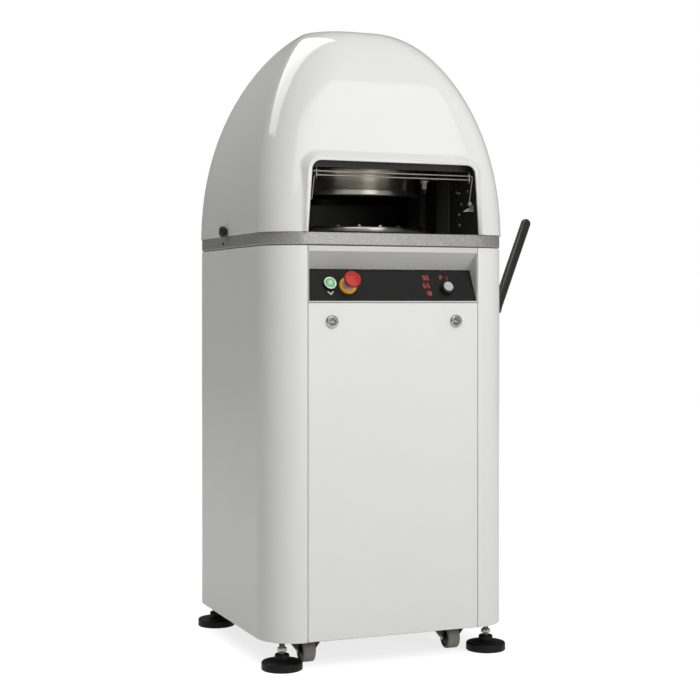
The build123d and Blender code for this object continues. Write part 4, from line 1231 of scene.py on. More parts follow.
@dataclass
class Console:
    """Folded recess with the black control film, its lit numbers and its controls.

    Places on the film are x across and s up the slope from its front edge. A profile's points are radius and
    height over the film's plane. The plunger has a radius, a lower and an upper end. The dial's flutes have a
    count, a depth, the least radius and the lowest and highest level that they reach.
    """

    fold_edge: float = 0.6
    panel_thickness: float = 3.0
    film_lift: float = 0.4
    film_corner: float = 1.5
    corner_steps: int = 4
    film_over: float = 2.4
    film_edge: float = 0.3
    digit_width: float = 6.0
    digit_height: float = 11.8
    bar: float = 0.95
    bar_gap: float = 0.4
    bar_height: float = 0.25
    lamp_glow: float = 0.42
    lamp_reach: float = 14.0
    lamp_gloss: float = 0.25
    readouts: tuple[tuple[str, str, float, float, float], ...] = (
        ("weight", "30", 91.2, 61.0, 9.6),
        ("press", "65", 90.5, 40.0, 9.6),
        ("round", "18", 91.5, 20.0, 9.6),
        ("program", "P1", 139.0, 61.0, 13.0),
    )
    mark_place: Pair = (-156.5, 14.4)
    mark_rise: float = 11.0
    mark_half: float = 8.0
    mark_stroke: float = 3.4
    mark_notch: float = 4.59
    ink_height: float = 0.15
    start_place: Pair = (-157.0, 42.0)
    start_body: Profile = (
        (0, -40.0), (11.0, -40.0), (11.0, 0), (14.5, 0), (14.5, 7.8), (11.3, 7.8),
        (11.3, 1.8), (0, 1.8),
    )
    start_bezel: Profile = (
        (14.3, 7.8), (15.0, 8.4), (15.0, 9.5), *arc((13.5, 9.5), 1.5, 0, 90, 5),
        (12.2, 10.7), (11.4, 9.8), (11.4, 7.8), (14.3, 7.8),
    )
    start_lens: Profile = (
        (0, 9.6), (10.9, 9.6), (10.9, 11.4), (10.2, 12.1), (8.4, 12.2), (7.9, 12.5), (4.0, 12.7),
        (0, 12.75),
    )
    lens_top: float = 12.6
    lens_glow: float = 0.04
    lens_reach: float = 11.5
    stop_place: Pair = (-112.0, 38.0)
    stop_collar: Profile = (
        (0, -40.0), (11.0, -40.0), (11.0, 0), (21.0, 0), (21.0, 5.0), *arc((18.5, 5.0), 2.5, 0, 75, 5),
        (15.5, 8.0), (7.2, 8.0), (7.2, -26.0), (0, -26.0),
    )
    stop_neck: Profile = (
        (7.2, 7.8), (14.5, 7.8), (14.5, 10.0), (13.6, 10.8), (13.6, 15.6), (13.0, 17.6),
        (7.2, 18.0), (7.2, 7.8),
    )
    stop_plunger: Triple = (7.0, -15.6, 32.0)
    stop_mushroom: Profile = (
        (0, 32.3), (7.2, 32.3), (7.2, 24.2), (13.2, 24.2), (15.0, 26.5), (18.6, 29.0), (20.0, 31.0),
        *arc((17.0, 36.6), 3.0, 0, 70), (15.6, 39.8), (13.4, 39.9), (12.9, 39.5), (12.4, 39.5),
        (11.9, 39.8), (5.0, 39.5), (0, 39.4),
    )
    dial_s: float = 30.5
    dial_grip: Profile = (
        (0, -13.0), (3.0, -13.0), (3.0, 0.7), (15.5, 0.7), (15.5, 3.0), (15.5, 9.0), (15.5, 14.4),
        (13.9, 16.0), (12.9, 16.0), (12.7, 15.5), (0, 15.5),
    )
    dial_flutes: tuple[int, float, float, float, float] = (36, 0.35, 15.3, 2.0, 12.0)
    dial_cap: Profile = (
        (0, 15.6), (11.8, 15.6), (11.8, 17.6), *arc((10.6, 17.6), 1.2, 0, 90, 4),
        (9.0, 18.7), (0, 18.5),
    )

    def __post_init__(self) -> None:
        """Take the film's plane from the dial's axis."""
        self.spot, self.out = joint("dial_turn")
        self.up = self.out.cross(AXIS_X)

    def at(self, x: float, s: float, height: float = 0.0) -> Matrix:
        """Give the matrix of a place on the film.

        Args:
            x: Place across.
            s: Place up the slope.
            height: Height over the film's plane.

        Returns:
            A matrix with Z square to the film and X across.
        """
        origin = self.spot + AXIS_X * (x - self.spot.x) + self.up * (s - self.dial_s) + self.out * height
        return placed(origin, self.out)

    def build(self) -> None:
        """Build the folds, the film, the numbers and the controls."""
        # The fold of the recess takes the greyer enamel: painted shade in the recess.
        fold = Shape.copy_of("console_sheet").flattened().rounded(self.fold_edge)
        fold.piece("console_fold", SHADED_SATIN_ENAMEL, "frame", "white_enamel", "console_sheet", flat=True)
        self.film()
        self.numbers()
        self.mark()
        self.start_button()
        self.emergency_stop()
        self.dial()
        dress(BOARD, "control_board")

    def film(self) -> None:
        """Lay the black film over the sloping panel."""
        low, high = box_of("control_panel")
        thickness = self.panel_thickness
        length = (high.z - low.z - thickness * self.out.z) / self.up.z
        half = high.x + self.film_over
        outline = rounded_rectangle(half, length / 2, self.film_corner, self.corner_steps)
        film = Shape.slab(outline, thickness + self.film_lift).rounded(self.film_edge)
        foot = low.z - self.at(0, 0).translation.z + thickness * self.out.z
        film.moved(self.at(0, foot / self.up.z + length / 2, -thickness))
        film.piece("control_film", PANEL_FILM, "frame", "panel_black", "control_panel", flat=True)

    def digit(self, mark: str) -> Shape:
        """Draw one lit digit round its own middle.

        Args:
            mark: A character of the lit bars' table.

        Returns:
            The digit's bars.
        """
        digit = Shape()
        width, rise = self.digit_width - self.bar, (self.digit_height - self.bar) / 2
        tip = self.bar / 2
        for name in LIT_BARS[mark].split():
            across, up, level = Segment[name].value
            end = ((width if level else rise) - self.bar_gap) / 2
            outline = [(-end, 0.0), (-end + tip, -tip), (end - tip, -tip)]
            outline += [(-x, -y) for x, y in outline]
            bar = Shape.slab(outline, self.bar_height)
            if not level:
                bar.moved(Matrix.Rotation(FULL_TURN / 4, 4, "Z"))
            digit.joined(bar.shifted(across * width, up * rise, 0))
        return digit

    def numbers(self) -> None:
        """Light the numbers of the display blocks."""
        for name, marks, x, s, pitch in self.readouts:
            row = Shape()
            for index, mark in enumerate(marks):
                offset = (index - (len(marks) - 1) / 2) * pitch
                row.joined(self.digit(mark).moved(self.at(x + offset, s, self.film_lift)))
            centre = tuple(self.at(x, s, self.film_lift).translation)
            # Red lamp behind a diffuser: an even glow that fades a little at the block's rim.
            lamp = LitLens(
                f"red_lamp_{name}",
                "#e0524b",
                "#c8403a",
                self.lamp_gloss,
                self.lamp_glow,
                centre,
                self.lamp_reach,
            )
            row.piece(f"readout_{name}", lamp, "frame", "red_plastic")

    def mark(self) -> None:
        """Print a plain chevron under the start button."""
        half, rise, stroke = self.mark_half, self.mark_rise, self.mark_stroke / 2
        outline = [(0.0, 0.0), (half, rise - stroke), (half - stroke, rise), (0.0, self.mark_notch)]
        outline += [(stroke - half, rise), (-half, rise - stroke)]
        chevron = Shape.slab(outline, self.ink_height).moved(self.at(*self.mark_place, self.film_lift))
        chevron.piece("start_mark", WHITE_INK, "frame", "white_abs")

    def start_button(self) -> None:
        """Turn the start button: a black body, a white bezel and a green lens."""
        place = self.at(*self.start_place)
        body = Shape.turned(self.start_body).moved(place)
        body.piece("start_body", BLACK_PLASTIC, "frame", "black_plastic", "start_button_body")
        bezel = Shape.turned(self.start_bezel, Steps.PART).moved(place)
        bezel.piece("start_bezel", WHITE_PLASTIC, "frame", "white_abs")
        centre = tuple(self.at(*self.start_place, self.lens_top).translation)
        # Green lens over a weak lamp: pale in the middle and deeper at the rim.
        green = LitLens(
            "green_lamp_lens",
            "#a3dcaa",
            "#63bd78",
            self.lamp_gloss,
            self.lens_glow,
            centre,
            self.lens_reach,
        )
        lens = Shape.turned(self.start_lens, Steps.PART).moved(place)
        lens.piece("start_lens", green, "start_button", "green_lens", "start_button_cap")

    def emergency_stop(self) -> None:
        """Turn the emergency stop: a yellow collar, a grey neck, a plunger and a red mushroom."""
        place = self.at(*self.stop_place)
        collar = Shape.turned(self.stop_collar, Steps.PART).moved(place)
        collar.piece("stop_collar", YELLOW_PLASTIC, "frame", "yellow_plastic", "estop_collar")
        neck = Shape.turned(self.stop_neck, Steps.PART).moved(place)
        neck.piece("stop_neck", GREY_PLASTIC, "frame", "grey_plastic")
        plunger = Shape.rod(*self.stop_plunger, Steps.ROD).moved(place)
        plunger.piece("stop_plunger", BLACK_PLASTIC, "estop_stem", "black_plastic", "estop_stem")
        head = Shape.turned(self.stop_mushroom, Steps.PART).moved(place)
        head.piece("stop_mushroom", RED_PLASTIC, "estop_head", "red_plastic", "estop_head")

    def dial(self) -> None:
        """Turn the dial: a fluted black grip with a light cap."""
        place = self.at(self.spot.x, self.dial_s)
        grip = Shape.turned(self.dial_grip, Steps.DIAL).fluted(*self.dial_flutes).moved(place)
        grip.piece("dial_grip", BLACK_PLASTIC, "dial", "black_plastic", "dial_knob")
        cap = Shape.turned(self.dial_cap, Steps.PART).moved(place)
        cap.piece("dial_top", GREY_PLASTIC, "dial", "grey_plastic", "dial_cap")


@dataclass
class Locks:
    """Nickel heads of the two quarter-turn locks; the well has a radius, a lower and an upper end."""

    head: Profile = (
        (0, 0.05), (15.4, 0.05), (15.4, 1.2), *arc((11.2, 1.2), 4.2, 0, 78, 7),
        (10.2, 5.6), (9.4, 5.1), (9.1, 3.0), (0, 3.0),
    )
    key_low: Triple = (-8.8, -1.7, 2.0)
    key_high: Triple = (8.8, 1.7, 4.7)
    key_edge: float = 0.5
    well: Triple = (9.2, 2.7, 3.1)
    seat_gap: float = 0.05
    barrel_gap: float = 0.2

    def build(self) -> None:
        """Cap each lock with a domed head and a recessed key bar."""
        front = box_of("front_panel")[0].y
        for side in Side:
            node = f"lock_{side.word}"
            origin, _ = joint(f"{node}_turn")
            seat = placed((origin.x, front - self.seat_gap, origin.z), -AXIS_Y)
            head = Shape.turned(self.head, Steps.PART)
            head.joined(Shape.block(self.key_low, self.key_high).rounded(self.key_edge))
            barrel = Shape.copy_of(node).cut((0, front - self.barrel_gap, 0), -AXIS_Y)
            barrel.joined(head.moved(seat))
            barrel.piece(f"lock_body_{side.word}", SATIN_NICKEL, node, "chrome", node)
            # The well takes the darker nickel: painted shade in the lock's recess.
            well = Shape.rod(*self.well).moved(seat)
            well.piece(f"lock_well_{side.word}", SHADED_DULL_NICKEL, node, "plain_steel")


@dataclass
class Chamber:
    """Working chamber: dark plates, brackets and screws, the sensor and the wire guard."""

    wire_radius: float = 1.8
    bend_radius: float = 5.0
    rod_drop: float = 9.0
    lean: float = 22.0
    rise: float = 65.0
    left_end: float = -201.0
    left_top: float = -197.5
    left_foot: float = -197.0
    right_end: float = 201.0
    right_top: float = 206.0
    right_foot: float = 208.0
    clamps: Pair = (-193.0, 197.0)
    clamp_size: float = 4.6
    clamp_over: float = 4.0
    clamp_edge: float = 1.2
    bolt_radius: float = 1.6
    bracket_inner: float = 196.0
    bracket_gap: float = 6.0
    bracket_drop: float = 18.0
    bracket_back: float = 10.0
    bracket_web: float = 2.0
    bracket_edge: float = 0.3
    pivot_nut: Nut = Nut(10.0, 7.0, 0.8)
    nut_seat: float = 206.0
    screw: Screw = Screw(3.4, 2.0, 2.5)
    screw_gap: float = 3.0
    wall_screws: Profile = (
        (-181.0, 1110.6), (-166.0, 1113.4), (-227.0, 1112.8),
        (-193.0, 1082.7), (-181.0, 1058.1), (-183.0, 1031.7),
    )
    sensor: Thread = Thread(6.0, 0.6, 1.0, 2.0, 1.2)
    sensor_tip: float = 11.0
    tip_edge: float = 0.8
    sensor_nut: Nut = Nut(17.0, 4.0, 0.5)
    nut_drops: Pair = (13.0, 5.6)
    arm_reach: float = 7.0
    arm_half: float = 8.0
    arm_drops: Pair = (9.0, 6.0)
    arm_edge: float = 0.8

    def __post_init__(self) -> None:
        """Take the guard's pivot from its joint."""
        self.pivot, _ = joint("guard_swing")

    def build(self) -> None:
        """Build the plates, the guard and the sensor."""
        dress(LINER_BLACK, "chamber_liner")
        self.guard()
        self.brackets()
        self.screws()
        self.feeler()

    def guard(self) -> None:
        """Bend the guard's two wires, each with a foot of its own, and clamp them together."""
        low, high = box_of("guard_bail")
        foot = self.pivot.yz
        top = foot + Vector((-self.lean, self.rise))
        under = top + Vector((self.lean / self.rise, -1)) * self.rod_drop
        upper = ((self.left_end, top), (self.right_top, top), (self.right_foot, foot), (high.x, foot))
        lower = ((low.x, foot), (self.left_foot, foot), (self.left_top, under), (self.right_end, under))
        bail = Shape()
        for corners in (upper, lower):
            points = [Vector((x, *place)) for x, place in corners]
            bail.joined(Shape.wire(points, self.wire_radius, self.bend_radius))
        bail.joined(*[self.clamp(top, under, x) for x in self.clamps])
        bail.piece("guard_wires", GUARD_WIRE, "guard", "zinc_steel", "guard_bail")

    def clamp(self, top: Vector, under: Vector, x: float) -> Shape:
        """Clamp both wires together with an upright bolt.

        Args:
            top: Place of the upper wire, in Y and Z.
            under: Place of the lower wire, in Y and Z.
            x: Place across.

        Returns:
            The clamp.
        """
        size, over = self.clamp_size / 2, self.clamp_over
        low = Vector((x - size, top.x - size, under.y - over))
        high = Vector((x + size, under.x + size, top.y + over))
        reach = (high.z - low.z) / 2 + over
        bolt = Shape.rod(self.bolt_radius, -reach, reach, Steps.BOLT).shifted(*(low + high) / 2)
        return Shape.block(low, high).rounded(self.clamp_edge, 3).joined(bolt)

    def brackets(self) -> None:
        """Fit a folded bracket and a nut at each guard pivot."""
        y, z = self.pivot.yz
        reach = box_of("guard_bail")[1].x - self.bracket_gap
        brackets = Shape()
        for side in Side:
            inner, outer = side.value * self.bracket_inner, side.value * reach
            outline = [(inner, -self.bracket_drop), (outer, -self.bracket_drop), (outer, 0.0)]
            web = Shape.slab(outline, self.bracket_web).rounded(self.bracket_edge)
            nut = self.pivot_nut.shape()
            nut.moved(sideways((side.value * self.nut_seat, y, z), side.value))
            brackets.joined(web.moved(placed((0, y + self.bracket_back, z), -AXIS_Y)), nut)
        brackets.piece("guard_brackets", GREY_PLASTIC, "frame", "zinc_steel")

    def screws(self) -> None:
        """Set bright screws in the inner faces of the front wings."""
        face = box_of("guard_bail")[1].x - self.screw_gap
        seats = [
            sideways((side.value * face, *place), -side.value) for side in Side for place in self.wall_screws
        ]
        self.screw.row("wing_screws", ZINC_FLAKE, "zinc_steel", seats)

    def feeler(self) -> None:
        """Turn the threaded sensor with its nuts and dark tip, on its arm."""
        low, high = box_of("proximity_sensor")
        tip, edge = self.sensor_tip, self.tip_edge
        x, y = low.x + self.sensor.radius, middle_of("proximity_sensor").y
        length = high.z - low.z
        rod = self.sensor.rod(tip, length)
        rod.joined(*[self.sensor_nut.shape().shifted(0, 0, length - drop) for drop in self.nut_drops])
        rod.shifted(x, y, low.z).piece("sensor_rod", ZINC_FLAKE, "frame", "zinc_steel", "proximity_sensor")
        root = self.sensor.radius - self.sensor.depth
        profile = [(0, 0), (root - edge, 0), (root, edge), (root, tip), (0, tip)]
        cap = Shape.turned(profile, Steps.ROD).shifted(x, y, low.z)
        cap.piece("sensor_tip", BLACK_PLASTIC, "frame", "black_plastic")
        bottom, top = [high.z - drop for drop in self.arm_drops]
        arm = Shape.block((x - self.arm_reach, y - self.arm_half, bottom), (high.x, y + self.arm_half, top))
        arm.rounded(self.arm_edge).piece("sensor_arm", DARK_PLATE, "frame", "plain_steel")


@dataclass
class Head:
    """Dividing head inside the hood."""

    ring_radius: float = 178.0
    ring_wall: float = 8.0
    bead_out: float = 3.0
    bead_height: float = 14.5
    bead_round: float = 3.0
    bead_fillet: Profile = ((0.4, 0.2), (0.0, 0.8))
    skirt_lift: float = 2.5
    skirt_wall: float = 1.0
    lining_edge: float = 0.8
    flange_edge: float = 1.5
    flange_over: float = 0.8
    flange_width: float = 8.0
    flange_sink: float = 0.2

    def build(self) -> None:
        """Turn the ring and dress the rest of the head."""
        low, high = box_of("head_ring")
        outer = self.ring_radius
        inner = outer - self.ring_wall
        lip = outer + self.bead_out - self.bead_round
        seam = lip - self.skirt_wall
        foot = low.z + self.skirt_lift
        bead_top = foot + self.bead_height
        skirt = [(seam, foot), *arc((lip, foot + self.bead_round), self.bead_round, -80, 0)]
        skirt += arc((lip, bead_top - self.bead_round), self.bead_round, 0, 80)
        skirt += [(outer + out, bead_top + up) for out, up in self.bead_fillet]
        skirt += [(outer, high.z), (seam, high.z), (seam, foot)]
        # The ring's inner wall and underside are a second piece of the same ring in near-black steel: painted
        # shade under the head.
        edge = low.z + self.lining_edge
        shaded_inside = [(inner, edge), (inner + self.lining_edge, low.z), (seam, low.z)]
        shaded_inside += [(seam, high.z), (inner, high.z), (inner, edge)]
        for name, finish, profile, replaced in (
            ("head_skirt", POLISHED_STEEL, skirt, ["head_ring"]),
            ("head_lining", SHADED_DARK_STEEL, shaded_inside, []),
            ("head_flange", POLISHED_STEEL, self.flange(high.z), []),
        ):
            ring = Shape.turned(profile, Steps.RING)
            ring.piece(name, finish, "press_head", "polished_steel", *replaced)
        # The press plate and the knives take the near-black steel: painted shade under the head.
        dress(SHADED_DARK_STEEL, "press_segments", "knife_grid")
        dress(CHARCOAL_COAT, "head_frame")
        dress(PAINTED_CASTING, "press_cylinder")
        dress(CHROME, "piston_rod")

    def flange(self, bottom: float) -> list[Pair]:
        """Give the profile of the flange over the ring.

        Args:
            bottom: Height of the ring's upper face.

        Returns:
            The closed profile.
        """
        top = box_of("press_segments")[1]
        edge = self.flange_edge
        rim = top.x + self.flange_over
        back, foot = rim - self.flange_width, bottom - self.flange_sink
        profile = [(back, foot), (rim - edge, foot), *arc((rim - edge, bottom + edge), edge, -90, 0, 4)]
        profile += arc((rim - edge, top.z - edge), edge, 0, 90, 4)
        return [*profile, (back, top.z + self.flange_sink), (back, foot)]


@dataclass
class Lever:
    """Hand lever on the right side."""

    bore: float = 9.05
    sleeve_radius: float = 14.0
    bush_radius: float = 20.0
    bush_step: float = 2.8
    bush_chamfer: float = 1.2
    hub_gap: float = 1.0
    hub_width: float = 20.0
    screw: Screw = Screw(7.0, 3.6, 6.0)

    def build(self) -> None:
        """Build the lever's bar, its bush and the screw on its hub."""
        bar = Shape.copy_of("lever_bar")
        bar.piece("hand_lever", LEVER_BLACK, "lever", "black_enamel", "lever_bar")
        axis = joint("lever_swing")[0].yz
        low, high = box_of("lever_bush")
        face = box_of("right_side_panel")[1].x
        depth, end = low.x - face, high.x - face
        profile = [(self.bore, depth), (self.sleeve_radius, depth), (self.sleeve_radius, 0)]
        profile += [(self.bush_radius, 0), (self.bush_radius, self.bush_step)]
        profile += [(self.bush_radius - self.bush_chamfer, end), (self.bore, end), (self.bore, depth)]
        bush = Shape.turned(profile).moved(sideways((face, *axis)))
        bush.piece("lever_bearing", BRONZE, "frame", "bronze", "lever_bush")
        hub_face = high.x + self.hub_gap + self.hub_width
        screw = self.screw.head().moved(sideways((hub_face, *axis)))
        screw.piece("lever_screw", ZINC_PLATE, "lever", "zinc_steel")
        dress(PLAIN_STEEL, "lever_shaft")


@dataclass
class Feet:
    """Four levelling feet: a bell-shaped pad and a threaded stem with its nut."""

    pad: Profile = (
        (0, 0), (46.0, 0), (47.5, 1.5), (47.5, 15.0), *arc((43.5, 15.0), 4.0, 0, 78), (22.0, 24.1),
        *arc((20.0, 27.1), 3.0, 255, 180, 5), (17.0, 32.0), *arc((13.0, 32.0), 4.0, 0, 85),
        (7.0, 36.0), (0, 36.0),
    )
    stem: Thread = Thread(7.0, 1.0, 2.0, 1.0, 1.6)
    stem_low: float = 35.0
    nut: Nut = Nut(20.0, 9.0, 1.0)
    nut_low: float = 41.0

    def build(self) -> None:
        """Build each foot from one pad and one stem."""
        for corner in CORNERS:
            node = f"foot_{corner}"
            low, high = box_of(node)
            middle = middle_of(node)
            place = (middle.x, middle.y, low.z)
            pad = Shape.turned(self.pad, Steps.PART).shifted(*place)
            pad.piece(f"{node}_pad", BLACK_RUBBER, node, "black_plastic", node)
            stem = self.stem.rod(self.stem_low, high.z - low.z)
            stem.joined(self.nut.shape().shifted(0, 0, self.nut_low)).shifted(*place)
            stem.piece(f"{node}_stem", ZINC_PLATE, node, "zinc_steel")


@dataclass
class Casters:
    """Four swivel casters with a rubber tread on a dark core; a wheel's profiles end at its middle."""

    core: Profile = (
        (4.2, -15.6), (9.0, -15.6), (10.0, -13.5), (18.0, -13.5), (19.5, -15.0), (21.0, -15.0),
    )
    tyre: Profile = ((20.8, -14.8), (21.5, -16.0), *arc((21.5, -11.5), 4.5, -80, 0))
    gusset_inner: float = 17.5
    gusset_outer: float = 33.0
    gusset_low: float = 24.0
    gusset_shoulder: float = 44.0
    gusset_depth: float = 30.0
    gusset_gap: float = 5.0
    gusset_edge: float = 1.0
    bolt: Nut = Nut(9.0, 2.6, 0.5)
    bolt_reach: float = 21.0

    def build(self) -> None:
        """Build each caster's fork, wheel and axle ends."""
        dress(DARK_PLATE, "caster_plates")
        for corner in CORNERS:
            fork, wheel = f"caster_fork_{corner}", f"caster_wheel_{corner}"
            yoke = Shape.copy_of(fork).joined(*self.gussets(corner))
            yoke.piece(f"caster_yoke_{corner}", DARK_PLATE, fork, "plain_steel", fork)
            place = sideways(middle_of(wheel))
            core = self.wheel(self.core).moved(place)
            core.piece(f"caster_core_{corner}", DARK_NYLON, wheel, "black_plastic", wheel)
            tyre = self.wheel(self.tyre).moved(place)
            tyre.piece(f"caster_tyre_{corner}", TREAD_RUBBER, wheel, "caster_tread")
            axle, _ = joint(f"caster_{corner}_roll")
            ends = Shape()
            for side in Side:
                seat = sideways(axle + AXIS_X * side.value * self.bolt_reach, side.value)
                ends.joined(self.bolt.shape().moved(seat))
            ends.piece(f"caster_bolt_{corner}", ZINC_PLATE, fork, "zinc_steel")

    def gussets(self, corner: str) -> list[Shape]:
        """Flare the fork's legs out towards its crown.

        Args:
            corner: Which caster.

        Returns:
            A gusset for each leg.
        """
        pivot, _ = joint(f"caster_{corner}_swivel")
        top = box_of(f"caster_fork_{corner}")[1].z - self.gusset_gap
        middle = placed((pivot.x, pivot.y + self.gusset_depth / 2, 0.0), -AXIS_Y)
        inner, outer = self.gusset_inner, self.gusset_outer
        right = [(inner, self.gusset_low), (outer, self.gusset_shoulder), (outer, top), (inner, top)]
        left = [(-x, z) for x, z in reversed(right)]
        legs = [Shape.slab(outline, self.gusset_depth) for outline in (left, right)]
        return [leg.rounded(self.gusset_edge).moved(middle) for leg in legs]

    def wheel(self, half: Profile) -> Shape:
        """Turn a part of the wheel from the profile of its one half."""
        mirrored = [(radius, -height) for radius, height in reversed(half)]
        return Shape.turned([*half, *mirrored, half[0]], Steps.PART)


@dataclass
class Drive:
    """Rounding drive, hydraulics and electrics inside the cabinet.

    The terminal box, the gauge and its glass have a width, a depth and a height. The filler's flutes have a
    count, a depth, the least radius and the lowest and highest level that they reach.
    """

    plate_height: float = 8.0
    motor_radius: float = 59.0
    fin_count: int = 40
    fin_steps: int = 4
    fin_depth: float = 3.4
    shield: float = 12.0
    groove: float = 5.0
    chamfer: float = 1.0
    cowl: float = 40.0
    cowl_edge: float = 9.0
    terminal: Triple = (52.0, 24.0, 58.0)
    case_edge: float = 3.0
    tank_height: float = 200.0
    tank_edge: float = 8.0
    lid_over: float = 7.0
    lid_height: float = 9.0
    trim_edge: float = 1.2
    lid_screw: Screw = Screw(5.0, 3.6, 4.0)
    pump_radius: float = 60.0
    filler: Profile = ((0, 0), (15.0, 0), (15.0, 6.0), (19.0, 7.0), (19.0, 23.0), (16.0, 26.0), (0, 26.0))
    filler_flutes: tuple[int, float, float, float, float] = (30, 1.0, 18.0, 6.0, 24.0)
    filler_inset: float = 36.0
    gauge: Triple = (16.0, 5.0, 96.0)
    glass: Triple = (7.0, 6.2, 76.0)
    door_height: float = 5.0
    door_inset: float = 4.0
    door_corner: float = 6.0
    door_edge: float = 1.5
    overlap: float = 1.0
    hinge_radius: float = 4.5
    hinge_length: float = 34.0
    hinge_edge: float = 0.8
    hinge_shares: Pair = (0.2, 0.8)
    lock: Profile = ((0, 0), (10.0, 0), (9.0, 2.5), (0, 2.5))
    lock_inset: float = 22.0
    key_low: Triple = (-1.2, -5.0, 2.0)
    key_high: Triple = (1.2, 5.0, 4.0)
    key_edge: float = 0.4
    cable_nut: Nut = Nut(24.0, 7.0, 1.0)
    cable_neck: Profile = ((0, 0), (9.0, 0), (9.0, 16.0), (5.0, 20.0), (0, 20.0))
    cable_shares: Triple = (0.25, 0.5, 0.75)

    def build(self) -> None:
        """Build the motors, the oil tank and the switch box, and dress the rest."""
        dress(PLAIN_STEEL, "eccentric_shaft", "idler_crank_left", "idler_crank_right", "motor_pulley")
        dress(DARK_PLATE, "drive_bridge", "bearing_housings")
        dress(PAINTED_CASTING, "drive_motor")
        dress(BELT_RUBBER, "v_belt")
        self.table_motor()
        self.oil_unit()
        self.switch_box()

    def motor(self, radius: float, length: float) -> Shape:
        """Turn a motor on its own Z: an end shield, a finned frame, a fan cowl and a terminal box.

        Args:
            radius: Outer radius.
            length: Length from its flange to the cowl's end.

        Returns:
            The motor.
        """
        root, slope, edge = radius - self.groove, self.chamfer, self.cowl_edge
        fins_low = self.shield + self.groove
        fins_top = length - self.cowl - self.groove
        cowl = fins_top + self.groove
        profile = [(0, 0), (radius, 0), (radius, self.shield), (root, self.shield + slope), (root, fins_low)]
        profile += [(radius, fins_low + slope), (radius, fins_top - slope), (root, fins_top)]
        profile += [(root, cowl - slope), (radius, cowl), (radius, length - edge)]
        profile += arc((radius - edge, length - edge), edge, 10, 90, 5)
        body = Shape.turned([*profile, (0, length)], self.fin_steps * self.fin_count)
        body.fluted(self.fin_count, self.fin_depth, radius - slope, fins_low, fins_top)
        wide, deep, tall = self.terminal
        low = fins_low + self.groove
        case = Shape.block((-wide / 2, -radius - deep, low), (wide / 2, -root, low + tall))
        return body.joined(case.rounded(self.case_edge, 3))

    def table_motor(self) -> None:
        """Hang the finned motor under its plate."""
        low, high = box_of("drive_motor")
        middle = middle_of("drive_motor")
        top = high.z - self.plate_height
        motor = self.motor(self.motor_radius, top - low.z + self.overlap)
        motor.moved(placed((middle.x, middle.y, top), -AXIS_Z))
        motor.piece("table_motor", PAINTED_CASTING, "frame", "blue_grey_alloy")

    def oil_unit(self) -> None:
        """Build the oil tank with its lid, sight glass and filler cap, and the pump's motor on it."""
        low, high = box_of("hydraulic_unit")
        middle = middle_of("hydraulic_unit")
        half = (high - low) / 2
        top = low.z + self.tank_height
        seam = top - self.lid_height
        over = Vector((self.lid_over, self.lid_over, 0))
        tank = Shape.block(low + over, Vector((high.x, high.y, seam)) - over).rounded(self.tank_edge, 4)
        lid = Shape.slab(rounded_rectangle(half.x, half.y, self.tank_edge), self.lid_height)
        lid.rounded(self.trim_edge).shifted(middle.x, middle.y, seam)
        pump = self.motor(self.pump_radius, high.z - top).shifted(middle.x, middle.y, top)
        tank.joined(lid, pump)
        tank.piece("oil_tank", PAINTED_CASTING, "frame", "blue_grey_alloy", "hydraulic_unit")
        near, far = low + 2 * over, high - 2 * over
        spots = [(x, y, top) for x in (near.x, middle.x, far.x) for y in (near.y, far.y)]
        seats = [Matrix.Translation(spot) for spot in spots]
        self.lid_screw.row("tank_screws", ZINC_PLATE, "zinc_steel", seats)
        cap = Shape.turned(self.filler, Steps.FLUTED).fluted(*self.filler_flutes)
        cap.shifted(high.x - self.filler_inset, low.y + self.filler_inset, top)
        cap.piece("filler_cap", BLACK_PLASTIC, "frame", "black_plastic")
        seat = Vector((middle.x, low.y + self.lid_over, low.z + self.tank_height / 2))
        for name, finish, slot, (wide, deep, tall) in (
            ("gauge_frame", BLACK_PLASTIC, "black_plastic", self.gauge),
            ("gauge_glass", AMBER_GLASS, "yellow_plastic", self.glass),
        ):
            corner = Vector((wide / 2, 0, tall / 2))
            strip = Shape.block(seat - corner - AXIS_Y * deep, seat + corner + AXIS_Y * self.overlap)
            strip.rounded(self.trim_edge).piece(name, finish, "frame", slot)

    def switch_box(self) -> None:
        """Build the switch box: a case, a door with hinges and a lock, and cable nuts on top."""
        low, high = box_of("electrical_box")
        middle = middle_of("electrical_box")
        size = high - low
        face = low.y + self.door_height
        case = Shape.block((low.x, face, low.z), high).rounded(self.case_edge, 3)
        wide, tall = size.x / 2 - self.door_inset, size.z / 2 - self.door_inset
        outline = rounded_rectangle(wide, tall, self.door_corner)
        door = Shape.slab(outline, self.door_height + self.overlap).rounded(self.door_edge, 3)
        case.joined(door.moved(placed((middle.x, face + self.overlap, middle.z), -AXIS_Y)))
        case.piece("switch_box", GREY_ENCLOSURE, "frame", "grey_plastic", "electrical_box")
        fittings = Shape()
        radius, length = self.hinge_radius, self.hinge_length
        for share in self.hinge_shares:
            level = low.z + share * size.z - length / 2
            pin = Shape.rod(radius, 0, length, Steps.PIN).rounded(self.hinge_edge)
            fittings.joined(pin.shifted(low.x + radius, face - self.overlap, level))
        lock = Shape.turned(self.lock, Steps.DISC)
        lock.joined(Shape.block(self.key_low, self.key_high).rounded(self.key_edge))
        fittings.joined(lock.moved(placed((high.x - self.lock_inset, low.y, middle.z), -AXIS_Y)))
        for share in self.cable_shares:
            nut = self.cable_nut.shape().joined(Shape.turned(self.cable_neck, Steps.PIN))
            fittings.joined(nut.shifted(low.x + share * size.x, middle.y, high.z))
        fittings.piece("switch_box_fittings", BLACK_PLASTIC, "frame", "black_plastic")


# Studio


